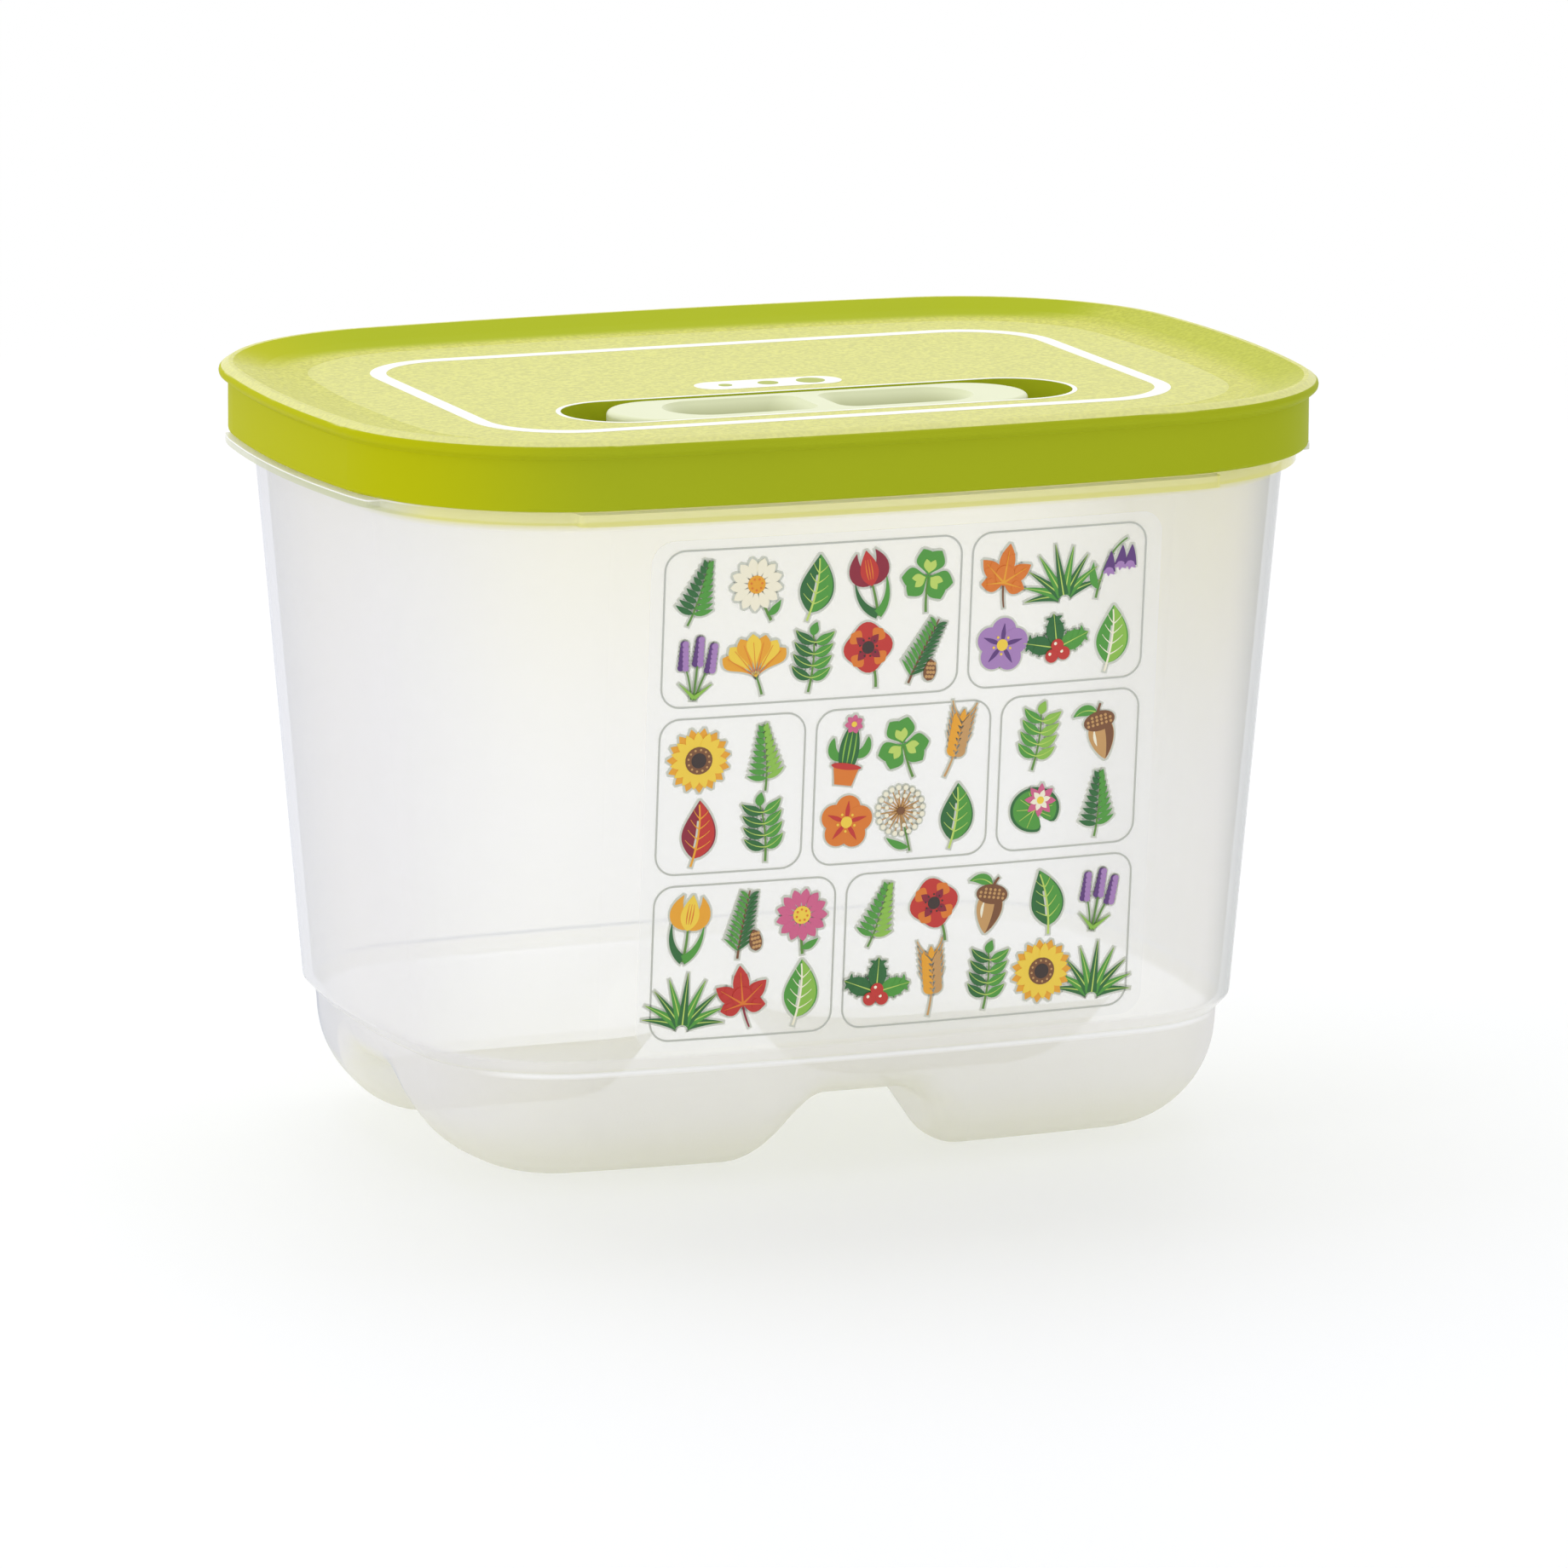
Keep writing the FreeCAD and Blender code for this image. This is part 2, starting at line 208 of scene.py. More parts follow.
def pick(*pieces):
    """Selects these pieces alone, the first one active."""
    at_rest()
    for piece in pieces:
        piece.select_set(True)
    bpy.context.view_layer.objects.active = pieces[0]


def new_finish(name):
    """A material with its Principled shader."""
    finish = bpy.data.materials.new(name)
    finish.use_nodes = True
    return finish, finish.node_tree.nodes["Principled BSDF"]


def add_node(tree, kind, **settings):
    """Adds a node and sets what is named."""
    node = tree.nodes.new(kind)
    for key, value in settings.items():
        setattr(node, key, value)
    return node


def link(tree, start, end):
    """Joins an output socket to an input socket."""
    tree.links.new(start, end)


def put_on(node_name, finish):
    """Gives a CAD node this one finish."""
    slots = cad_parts[node_name].data.materials
    slots.clear()
    slots.append(finish)


def new_group(name, inputs, outputs):
    """An empty shader group with its inlet and outlet. Sockets are floats unless named Vector."""
    group = bpy.data.node_groups.new(name, "ShaderNodeTree")
    for labels, side in ((inputs, "INPUT"), (outputs, "OUTPUT")):
        for label in labels:
            kind = "NodeSocketVector" if label == "Vector" else "NodeSocketFloat"
            group.interface.new_socket(label, in_out=side, socket_type=kind)
    return group, group.nodes.new("NodeGroupInput"), group.nodes.new("NodeGroupOutput")


def calculate(tree, operation, first, second=None, use_clamp=False):
    """Result of a sum on one or two values. Each may be a number or a socket."""
    node = add_node(tree, "ShaderNodeMath", operation=operation, use_clamp=use_clamp)
    for value, socket in ((first, node.inputs[0]), (second, node.inputs[1])):
        if isinstance(value, bpy.types.NodeSocket):
            link(tree, value, socket)
        elif value is not None:
            socket.default_value = value
    return node.outputs[0]


def both(tree, first, second):
    """Mask of what lies in two masks, or a mask made weaker by a number."""
    return calculate(tree, "MULTIPLY", first, second)


def either(tree, first, second):
    """Mask of what lies in one of two masks."""
    return calculate(tree, "MAXIMUM", first, second)


def outside(tree, mask):
    """Mask of all that another mask leaves out."""
    return calculate(tree, "SUBTRACT", 1.0, mask)


def band_group():
    """Shared shader group: 1 between two heights of the part, with soft edges."""
    made = bpy.data.node_groups.get("height band")
    if made is not None:
        return made
    group, inlet, outlet = new_group("height band", ("Height", "Low", "High", "Soft"), ("Mask",))
    sides = []
    for more, less in (("Height", "Low"), ("High", "Height")):
        gap = calculate(group, "SUBTRACT", inlet.outputs[more], inlet.outputs[less])
        ratio = calculate(group, "DIVIDE", gap, inlet.outputs["Soft"])
        sides.append(calculate(group, "ADD", ratio, 0.5, use_clamp=True))
    link(group, both(group, *sides), outlet.inputs["Mask"])
    return group


def grain_group():
    """Shared shader group: fine grain of a sparked mould, with slow unevenness of the gloss."""
    made = bpy.data.node_groups.get("mould grain")
    if made is not None:
        return made
    inputs = ("Vector", "Grain scale", "Haze scale")
    group, inlet, outlet = new_group("mould grain", inputs, ("Grain", "Haze"))
    for label, detail in (("Grain", 2.0), ("Haze", 1.0)):
        noise = add_node(group, "ShaderNodeTexNoise")
        noise.inputs["Detail"].default_value = detail
        link(group, inlet.outputs["Vector"], noise.inputs["Vector"])
        link(group, inlet.outputs[label + " scale"], noise.inputs["Scale"])
        link(group, noise.outputs["Fac"], outlet.inputs[label])
    return group


def read_surface(tree):
    """Object coordinates and the surface's own direction, whole and in parts."""
    source = add_node(tree, "ShaderNodeTexCoord")
    found = {"place": source.outputs["Object"], "normal": source.outputs["Normal"]}
    for key, prefix in (("place", ""), ("normal", "lean ")):
        parts = add_node(tree, "ShaderNodeSeparateXYZ")
        link(tree, found[key], parts.inputs[0])
        for axis in "XYZ":
            found[prefix + axis.lower()] = parts.outputs[axis]
    return found


def ramp(tree, value, low, high):
    """Soft step from 0 to 1 between two values, of which the first may be the higher."""
    node = add_node(tree, "ShaderNodeMapRange", interpolation_type="SMOOTHSTEP")
    node.inputs["From Min"].default_value = low
    node.inputs["From Max"].default_value = high
    link(tree, value, node.inputs["Value"])
    return node.outputs["Result"]


def ramp_mm(tree, place, reach_mm):
    """Soft step from 0 to 1 between two places in millimetres."""
    return ramp(tree, place, reach_mm[0] * MM, reach_mm[1] * MM)


def band(tree, height, reach_mm, soft_mm):
    """Mask of a band that reaches from one height to another."""
    node = add_node(tree, "ShaderNodeGroup", node_tree=band_group())
    link(tree, height, node.inputs["Height"])
    for label, value in zip(("Low", "High", "Soft"), (*reach_mm, soft_mm)):
        node.inputs[label].default_value = value * MM
    return node.outputs["Mask"]


def grain(tree, place, grain_size, haze_size):
    """Grain and haze of a moulded surface."""
    node = add_node(tree, "ShaderNodeGroup", node_tree=grain_group())
    link(tree, place, node.inputs["Vector"])
    node.inputs["Grain scale"].default_value = 1 / grain_size
    node.inputs["Haze scale"].default_value = 1 / haze_size
    return node.outputs["Grain"], node.outputs["Haze"]


def blend(tree, mask, start, end, kind):
    """Mix node of a kind, VALUE or RGBA. Each end may be a plain value or a socket."""
    node = add_node(tree, "ShaderNodeMix", data_type="RGBA" if kind == "RGBA" else "FLOAT")
    link(tree, mask, node.inputs["Factor"])
    ends = [s for s in node.inputs if s.type == kind and s.name in "AB"]
    for value, socket in zip((start, end), ends):
        if isinstance(value, bpy.types.NodeSocket):
            link(tree, value, socket)
        else:
            socket.default_value = (*value, 1) if kind == "RGBA" else value
    return [s for s in node.outputs if s.type == kind][0]


def blend_values(tree, mask, start, end):
    """Value that goes from start to end with a mask."""
    return blend(tree, mask, start, end, "VALUE")


def blend_colours(tree, mask, start, end):
    """Colour that goes from start to end with a mask."""
    return blend(tree, mask, start, end, "RGBA")


def mix_shaders(tree, mask, first, second, output):
    """Shows the first shader, and the second one where the mask is 1."""
    mix = add_node(tree, "ShaderNodeMixShader")
    link(tree, mask, mix.inputs["Fac"])
    link(tree, first.outputs[0], mix.inputs[1])
    link(tree, second.outputs[0], mix.inputs[2])
    link(tree, mix.outputs[0], tree.nodes[output].inputs["Surface"])


def rough_up(tree, shader, height, amount, depth):
    """Bump of a moulded grain."""
    bump = add_node(tree, "ShaderNodeBump")
    bump.inputs["Strength"].default_value = amount
    bump.inputs["Distance"].default_value = depth
    link(tree, height, bump.inputs["Height"])
    link(tree, bump.outputs["Normal"], shader.inputs["Normal"])


def light_rays(tree):
    """Mask of the rays that carry light to a surface, from the lamps or from all round."""
    rays = add_node(tree, "ShaderNodeLightPath")
    return either(tree, rays.outputs["Is Shadow Ray"], rays.outputs["Is Diffuse Ray"])


def let_light_through(tree, cover, light_share, behind=0.0):
    """Cover of milky plastic, which hides what is behind it but lets most of the light through.

    Only the face where a ray goes in counts, so a wall covers once and not twice, apart from
    what is given as cover from behind.
    """
    seen = blend_values(tree, light_rays(tree), cover, both(tree, cover, 1 - light_share))
    face = add_node(tree, "ShaderNodeNewGeometry")
    return blend_values(tree, face.outputs["Backfacing"], seen, behind)


WHITE = (1, 1, 1)
PLASTIC_IOR = 1.49
# Heights on the part, in millimetres, from and to.
BELOW_ALL, ABOVE_ALL = -10, 140
FEET = (BELOW_ALL, 21.2)
# Band of the painted white highlight below the step.
PAINTED_HIGHLIGHT_LINE = (20.2, 21.0)
STEP = (21.2, 23.6)
# Band of the painted shade line inside, above the step.
PAINTED_SHADE_LINE = (23.4, 24.0)
# Band of the wall that gets painted warm light from the lid.
PAINTED_LID_LIGHT_WALL = (60, 118)
LIP = (115.4, 119.6)
# Band of the painted white highlight on the end lips.
GLINT = (118.25, 118.5)
RIM = (119.6, ABOVE_ALL)
# Heights of the painted shade in the slider's wells.
SLIDER_WELL_SHADE = (BELOW_ALL, 126.9)
LID_PANEL = (127.9, ABOVE_ALL)
# Distances from the part's middle, in millimetres, between which its ends begin; there the tub's ends
# get painted grey shade, the end lips their painted colour and glint, and the lid's left end painted
# light.
ENDS = (56, 80)
FAR_ENDS = (77, 84)
# Reach of the painted light on the lid's left end.
LID_PAINTED_LIGHT_END = (-50, -86)


class KEEPER_OT_tub(bpy.types.Operator):
    """Give the tub its milky clear wall and frosted feet, with painted green light on the lip, painted
    shade on its ends and corners, and painted highlights
    """

    bl_idname = "keeper.tub"
    bl_label = "Tub finish"

    def execute(self, context):
        looks = context.scene.keeper_tub
        finish, shader = new_finish("milky clear plastic")
        tree = finish.node_tree
        spot = read_surface(tree)
        fine, haze = grain(tree, spot["place"], looks.foot_grain, looks.wall_haze)
        masks = self.find_masks(tree, spot)
        feet, far_ends = masks["feet"], masks["far ends"]
        # After the feet's own colour, the tints are painted: warm and green light near the lid, shade
        # on the ends, corners, down-facing faces and a line inside, and white highlights.
        tints = {
            "upper": looks.upper_painted_light_colour,
            "feet": looks.foot_colour,
            "ends": looks.ends_painted_shade_colour,
            "right": looks.right_painted_shade_colour,
            "left back": looks.left_light_and_shade_colour,
            "under": looks.under_painted_shade_colour,
            "painted shade line": looks.line_ink_and_shade_colour,
            "painted highlight line": WHITE,
            # Painted green light on the long sides' lips, painted grey-green shade on the end lips.
            "lip": blend_colours(tree, far_ends, looks.lip_painted_green_colour, looks.end_lip_painted_shade_colour),
            "glint": WHITE,
        }
        tint = looks.tub_colour
        for name, value in tints.items():
            tint = blend_colours(tree, masks[name], tint, value)
        link(tree, tint, shader.inputs["Base Color"])
        gloss = blend_values(tree, haze, looks.wall_rough, 2 * looks.wall_rough)
        link(tree, blend_values(tree, feet, gloss, looks.foot_rough), shader.inputs["Roughness"])

        edge = add_node(tree, "ShaderNodeLayerWeight")
        edge.inputs["Blend"].default_value = 0.5
        wall, step, foot = (
            blend_values(tree, edge.outputs["Facing"], value, looks.edge_cover)
            for value in (looks.tub_cover, looks.step_cover, looks.foot_cover)
        )
        covers = {
            "step": step,
            "feet": foot,
            "painted highlight line": looks.highlight_line_cover,
            "well": looks.floor_cover,
            "painted shade line": looks.shade_line_cover,
            "lip": blend_values(tree, far_ends, looks.lip_cover, looks.end_lip_cover),
            "rim": looks.rim_cover,
            "glint": looks.glint_cover,
        }
        cover = wall
        for name, value in covers.items():
            cover = blend_values(tree, masks[name], cover, value)
        end_step = both(tree, masks["step"], masks["short side"])
        behind = both(tree, end_step, looks.step_cover_behind)
        seen = let_light_through(tree, cover, looks.light_through, behind)
        link(tree, seen, shader.inputs["Alpha"])

        rough_up(tree, shader, both(tree, feet, fine), 0.3, looks.foot_grain_depth)
        shader.inputs["IOR"].default_value = PLASTIC_IOR
        shader.inputs["Specular IOR Level"].default_value = 0.12
        put_on("tub", finish)
        return {"FINISHED"}

    def find_masks(self, tree, spot):
        """Masks of the tub's regions, from the place on the part and the way the surface faces; several
        of them place painted light, shade and highlights.
        """
        height = spot["z"]
        from_middle = calculate(tree, "ABSOLUTE", spot["x"])
        far_ends = ramp_mm(tree, from_middle, FAR_ENDS)
        long_side = ramp(tree, calculate(tree, "ABSOLUTE", spot["lean y"]), 0.55, 0.9)
        inner = ramp(tree, spot["lean z"], -0.04, 0.06)
        outer = outside(tree, inner)
        feet = band(tree, height, FEET, 0.8)
        wall = both(tree, outside(tree, feet), outer)
        left = both(tree, ramp(tree, spot["lean x"], -0.4, -0.9), outer)
        return {
            # Painted shade greys the tub's ends.
            "ends": ramp_mm(tree, from_middle, ENDS),
            "far ends": far_ends,
            "short side": outside(tree, long_side),
            # Painted shade on the right end's corners, by the way they face.
            "right": both(tree, ramp(tree, spot["lean x"], 0.45, 0.93), wall),
            # Painted shade on the left back corner, by the way it faces.
            "left back": both(tree, ramp(tree, spot["lean y"], -0.05, 0.3), left),
            # Painted warm light near the lid.
            "upper": ramp_mm(tree, height, PAINTED_LID_LIGHT_WALL),
            "feet": feet,
            # Painted shade on the faces that look down.
            "under": both(tree, feet, ramp(tree, spot["lean z"], -0.3, -0.8)),
            "well": both(tree, feet, inner),
            "step": both(tree, band(tree, height, STEP, 0.5), outer),
            # Painted white highlight below the step, on the long sides.
            "painted highlight line": both(tree, band(tree, height, PAINTED_HIGHLIGHT_LINE, 0.5), long_side),
            # Painted shade line inside, above the step.
            "painted shade line": both(tree, band(tree, height, PAINTED_SHADE_LINE, 0.3), inner),
            "lip": band(tree, height, LIP, 1.2),
            "rim": band(tree, height, RIM, 1.2),
            # Painted white highlight on the end lips.
            "glint": both(tree, band(tree, height, GLINT, 0.2), far_ends),
        }


class KEEPER_OT_lid(bpy.types.Operator):
    """Give the lid its smooth green skirt and finely grained panel, with painted light at the left end,
    painted sheen on the panel and a painted highlight on the crest
    """

    bl_idname = "keeper.lid"
    bl_label = "Lid finish"

    def execute(self, context):
        looks = context.scene.keeper_lid
        finish, shader = new_finish("lime lid plastic")
        tree = finish.node_tree
        spot = read_surface(tree)
        fine, haze = grain(tree, spot["place"], looks.lid_grain, looks.lid_haze)
        high = band(tree, spot["z"], LID_PANEL, 0.5)
        flat, crest = self.find_top(tree, spot)
        panel = both(tree, high, either(tree, flat, crest))

        skin = blend_colours(tree, haze, looks.lid_colour, toned(looks.lid_colour, 1.06))
        # Painted light on the lid's left end.
        painted_light_end = ramp_mm(tree, spot["x"], LID_PAINTED_LIGHT_END)
        skin = blend_colours(tree, painted_light_end, skin, looks.left_light_and_shade_colour)
        # Painted sheen on the panel, with the real grain's lighter and darker specks.
        dull, bright = (toned(looks.panel_sheen_colour, gain) for gain in (0.82, 1.1))
        grain_and_sheen = blend_colours(tree, ramp(tree, fine, 0.3, 0.7), dull, bright)
        # Painted highlight on the crest.
        grain_and_sheen = blend_colours(tree, both(tree, crest, 0.5), grain_and_sheen, looks.crest_highlight_colour)
        link(tree, blend_colours(tree, panel, skin, grain_and_sheen), shader.inputs["Base Color"])
        smooth = blend_values(tree, haze, looks.lid_rough, looks.lid_rough + 0.08)
        link(tree, blend_values(tree, panel, smooth, looks.panel_rough), shader.inputs["Roughness"])
        shader.inputs["Specular IOR Level"].default_value = 0.02
        rough_up(tree, shader, both(tree, both(tree, high, flat), fine), 0.8, looks.lid_grain_depth)

        glow = add_node(tree, "ShaderNodeBsdfTransparent")
        glow.inputs["Color"].default_value = (*looks.lid_light, 1)
        passed = both(tree, light_rays(tree), looks.lid_through)
        mix_shaders(tree, passed, shader, glow, "Material Output")
        put_on("lid", finish)
        return {"FINISHED"}

    def find_top(self, tree, spot):
        """Masks of the grained flat with its painted sheen, weaker on the back and right slopes as
        painted shade, and of the rim's crest with its painted highlight.
        """
        level = ramp(tree, spot["lean z"], 0.93, 0.97)
        # Painted shade: the back slope and half of the right slope keep the darker skirt colour.
        shaded_back_slope = ramp(tree, spot["lean y"], -0.04, -0.17)
        shaded_right_slope = both(tree, ramp(tree, spot["lean x"], -0.08, -0.26), 0.5)
        flat = both(tree, level, outside(tree, either(tree, shaded_back_slope, shaded_right_slope)))
        across = add_node(tree, "ShaderNodeVectorMath", operation="MULTIPLY")
        across.inputs[1].default_value = (1, 1, 0)
        link(tree, spot["place"], across.inputs[0])
        away = add_node(tree, "ShaderNodeVectorMath", operation="DOT_PRODUCT")
        link(tree, across.outputs["Vector"], away.inputs[0])
        link(tree, spot["normal"], away.inputs[1])
        outward = ramp(tree, away.outputs["Value"], -0.002, 0.002)
        return flat, both(tree, outward, ramp(tree, spot["lean z"], 0.6, 0.85))


class KEEPER_OT_slider(bpy.types.Operator):
    """Give the vent slider its pale satin finish, with painted shade in its wells"""

    bl_idname = "keeper.slider"
    bl_label = "Slider finish"

    def execute(self, context):
        looks = context.scene.keeper_lid
        finish, shader = new_finish("pale satin slider")
        tree = finish.node_tree
        spot = read_surface(tree)
        fine, haze = grain(tree, spot["place"], 0.6 * MM, 12 * MM)
        # Painted shade in the wells, below the slider's top.
        wells = band(tree, spot["z"], SLIDER_WELL_SHADE, 1.8)
        skin = blend_colours(tree, haze, looks.slider_colour, toned(looks.slider_colour, 0.96))
        tint = blend_colours(tree, wells, skin, looks.well_painted_shade_colour)
        link(tree, tint, shader.inputs["Base Color"])
        link(tree, blend_values(tree, haze, 0.28, 0.38), shader.inputs["Roughness"])
        rough_up(tree, shader, fine, 0.1, 0.03 * MM)
        put_on("vent_slider", finish)
        return {"FINISHED"}


class KEEPER_OT_film(bpy.types.Operator):
    """Give the label film its clear finish"""

    bl_idname = "keeper.film"
    bl_label = "Film finish"

    def execute(self, context):
        looks = context.scene.keeper_tub
        finish, shader = new_finish("clear label film")
        tree = finish.node_tree
        haze = grain(tree, read_surface(tree)["place"], 1.5 * MM, 20 * MM)[1]
        tint = blend_colours(tree, haze, shade("FCFCFB"), shade("F7F7F6"))
        link(tree, tint, shader.inputs["Base Color"])
        link(tree, blend_values(tree, haze, 0.16, 0.28), shader.inputs["Roughness"])
        cover = blend_values(tree, haze, looks.film_cover, looks.film_cover * 1.25)
        link(tree, let_light_through(tree, cover, looks.light_through), shader.inputs["Alpha"])
        put_on("label_film", finish)
        return {"FINISHED"}


def rounded_plate(name, size_x, size_y, corner, centre):
    """A flat rounded plate in edit mode, all selected, with its place in its mesh."""
    at_rest()
    bpy.ops.mesh.primitive_plane_add(size=1, location=centre)
    plate = bpy.context.active_object
    plate.name = name
    plate.scale = (size_x, size_y, 1)
    bpy.ops.object.transform_apply(location=True, rotation=True, scale=True)
    bpy.ops.object.mode_set(mode="EDIT")
    bpy.ops.mesh.select_all(action="SELECT")
    bpy.ops.mesh.bevel(offset=corner, offset_type="OFFSET", segments=14, affect="VERTICES")
    bpy.ops.mesh.select_all(action="SELECT")
    return plate


def raise_print(height):
    """Gives the flat print that is being edited its thickness."""
    bpy.ops.mesh.select_all(action="SELECT")
    bpy.ops.mesh.extrude_region_move(TRANSFORM_OT_translate={"value": (0, 0, height)})
    bpy.ops.mesh.select_all(action="SELECT")
    bpy.ops.mesh.normals_make_consistent(inside=False)
    bpy.ops.object.mode_set(mode="OBJECT")


def open_to_ring(width):
    """Keeps only the outer line of the plate that is being edited."""
    bpy.ops.mesh.inset(thickness=width, depth=0)
    bpy.ops.mesh.delete(type="FACE")


def ink(name, code_or_colour, rough=0.4):
    """A plain print ink."""
    finish, shader = new_finish(name)
    value = shade(code_or_colour) if isinstance(code_or_colour, str) else tuple(code_or_colour)
    shader.inputs["Base Color"].default_value = (*value, 1)
    shader.inputs["Roughness"].default_value = rough
    return finish


RECESS = {"length": 91.6 * MM, "width": 21.8 * MM, "offset": -23.6 * MM}
PANEL_LEVEL = 128.5 * MM
MARK_RADII = (1.2 * MM, 1.8 * MM, 2.5 * MM)
MARK_HEIGHT_SHARE = 1.8
FULL_ROUND_SHARE = 0.498


class KEEPER_OT_lid_lines(bpy.types.Operator):
    """Print the border, the ring round the recess and the vent marks on the lid"""

    bl_idname = "keeper.lid_lines"
    bl_label = "Lid lines"

    def execute(self, context):
        sizes = context.scene.keeper_lid_lines
        white = ink("white lid ink", sizes.ink_colour, 0.35)
        ring_size = [RECESS[side] + 2 * sizes.ring_width for side in ("length", "width")]
        fields = (
            (
                "lid_border_line",
                (sizes.border_length, sizes.border_width, sizes.border_corner),
                (0, sizes.border_offset),
                sizes.line_width,
            ),
            (
                "lid_recess_line",
                (*ring_size, FULL_ROUND_SHARE * ring_size[1]),
                (0, RECESS["offset"]),
                sizes.ring_width,
            ),
            (
                "lid_mark_field",
                (sizes.pill_length, sizes.pill_width, FULL_ROUND_SHARE * sizes.pill_width),
                (sizes.pill_x, sizes.pill_y),
                None,
            ),
        )
        made = []
        for name, size, (x, y), line in fields:
            piece = rounded_plate(name, *size, (x, y, PANEL_LEVEL))
            if line is not None:
                open_to_ring(line)
            raise_print(sizes.ink_height)
            piece.data.materials.append(white)
            made.append(piece)
        green = ink("lid mark ink", context.scene.keeper_lid.lid_colour, 0.4)
        for turn, radius in zip((-1, 0, 1), MARK_RADII):
            at_rest()
            spot = (sizes.pill_x + turn * sizes.mark_spacing, sizes.pill_y, PANEL_LEVEL)
            disc = {"vertices": 32, "radius": radius, "fill_type": "NGON"}
            bpy.ops.mesh.primitive_circle_add(**disc, location=spot)
            mark = bpy.context.active_object
            mark.name = "lid_vent_mark_" + "abc"[turn + 1]
            bpy.ops.object.transform_apply(location=True, rotation=True, scale=True)
            bpy.ops.object.mode_set(mode="EDIT")
            raise_print(MARK_HEIGHT_SHARE * sizes.ink_height)
            mark.data.materials.append(green)
            made.append(mark)
        for piece in made:
            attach(piece, "lid")
        return {"FINISHED"}


INK_SHADES = {
    "leaf deep": "2B6A34",
    "leaf bright": "4F9B3A",
    "leaf pale": "8DC04A",
    "lime": "BFD867",
    "stem": "5F8F3A",
    "red": "C5332C",
    "crimson": "8E1F35",
    "rose": "D2628B",
    "orange": "E07B27",
    "amber": "EBA62B",
    "yellow": "F3D045",
    "cream": "F6F0D8",
    "violet": "5F3A7C",
    "lilac": "A981BC",
    "brown": "7C5030",
    "tan": "C99B61",
    "dark": "3A2C28",
}


def spoke(angle, reach, centre=(0, 0)):
    """Point at an angle in degrees and a distance from a centre."""
    turn = math.radians(angle)
    return centre[0] + reach * math.cos(turn), centre[1] + reach * math.sin(turn)


def girth(form, along, belly):
    """Share of a strip's full width at a place along it."""
    if form == "stem":
        return 1 - 0.35 * along
    if form == "blade":
        return (1 - along) ** 0.75
    swell = math.sin(math.pi * along ** (math.log(0.5) / math.log(belly)))
    return max(swell, 0) ** (0.5 if form == "pod" else 0.9)


class Picture:
    """One printed picture, drawn in millimetres from flat shapes, each laid on the ones before."""

    def __init__(self, inks, halo, step):
        self.inks = inks
        self.halo = halo / MM
        self.step = step
        self.shapes = []

    def lay(self, ink_name, corner_place):
        """Shapes the new primitive and lays it on the picture."""
        shape = bpy.context.active_object
        top = ink_name != "halo"
        level = self.step * (2 + (len(self.shapes) if top else 0))
        for corner in shape.data.vertices:
            x, y = corner_place(corner.co)
            corner.co = (x * MM, y * MM, level)
        shape.data.materials.append(self.inks[ink_name])
        self.shapes.append(shape)

    def layers(self, ink_name, halo):
        """Inks of a shape and how far each grows past it: its edge, where it has one, and itself."""
        edge = [("halo", self.halo)] if halo else []
        return [*edge, (ink_name, 0.0)]

    def strip(self, points, width, ink_name, form="leaf", belly=0.45, sides=(1, 1), rows=10, halo=True):
        """A leaf, petal, stem or blade along a bent line, with a grey edge below it."""
        start, middle, end = (Vector(spot) for spot in points)
        for name, grow in self.layers(ink_name, halo):

            def corner_place(co, grow=grow):
                along = co.y + 0.5
                before, after = middle - start, end - middle
                spot = start + 2 * along * before + along * along * (after - before)
                way = ((1 - along) * before + along * after).normalized()
                across = Vector((way.y, -way.x))
                half = max(width / 2 * girth(form, along, belly), 0.05) + grow
                reach = half * (sides[1] if co.x > 0 else -sides[0])
                return spot + across * reach + way * grow * (2 * along - 1)

            at_rest()
            bpy.ops.mesh.primitive_grid_add(x_subdivisions=1, y_subdivisions=rows, size=1)
            self.lay(name, corner_place)

    def disc(self, centre, radius, ink_name, outline=None, stretch=1, halo=True, corners=24):
        """A round or lobed shape, with a grey edge below it."""
        for name, grow in self.layers(ink_name, halo):

            def corner_place(co, grow=grow):
                if co.length < 0.5:
                    return centre
                angle = math.atan2(co.y, co.x)
                reach = radius * (outline(angle) if outline else 1) + grow
                x, y = reach * math.cos(angle), stretch * reach * math.sin(angle)
                return centre[0] + x, centre[1] + y

            at_rest()
            bpy.ops.mesh.primitive_circle_add(vertices=corners, radius=1, fill_type="TRIFAN")
            self.lay(name, corner_place)

    def petals(self, count, inner, outer, width, ink_name, belly=0.6, turn=90, centre=(0, 0), **more):
        """A ring of petals, rays or dots' stalks."""
        for k in range(count):
            angle = turn + 360 * k / count
            line = [spoke(angle, reach, centre) for reach in (inner, (inner + outer) / 2, outer)]
            self.strip(line, width, ink_name, belly=belly, rows=8, **more)

    def dots(self, count, reach, radius, ink_name, centre=(0, 0), turn=0):
        """A ring of small dots."""
        for k in range(count):
            spot = spoke(turn + 360 * k / count, reach, centre)
            self.disc(spot, radius, ink_name, halo=False, corners=10)

    def joined(self, name):
        """The finished picture as one flat piece."""
        pick(*self.shapes)
        bpy.ops.object.join()
        whole = bpy.context.active_object
        whole.name = name
        return whole


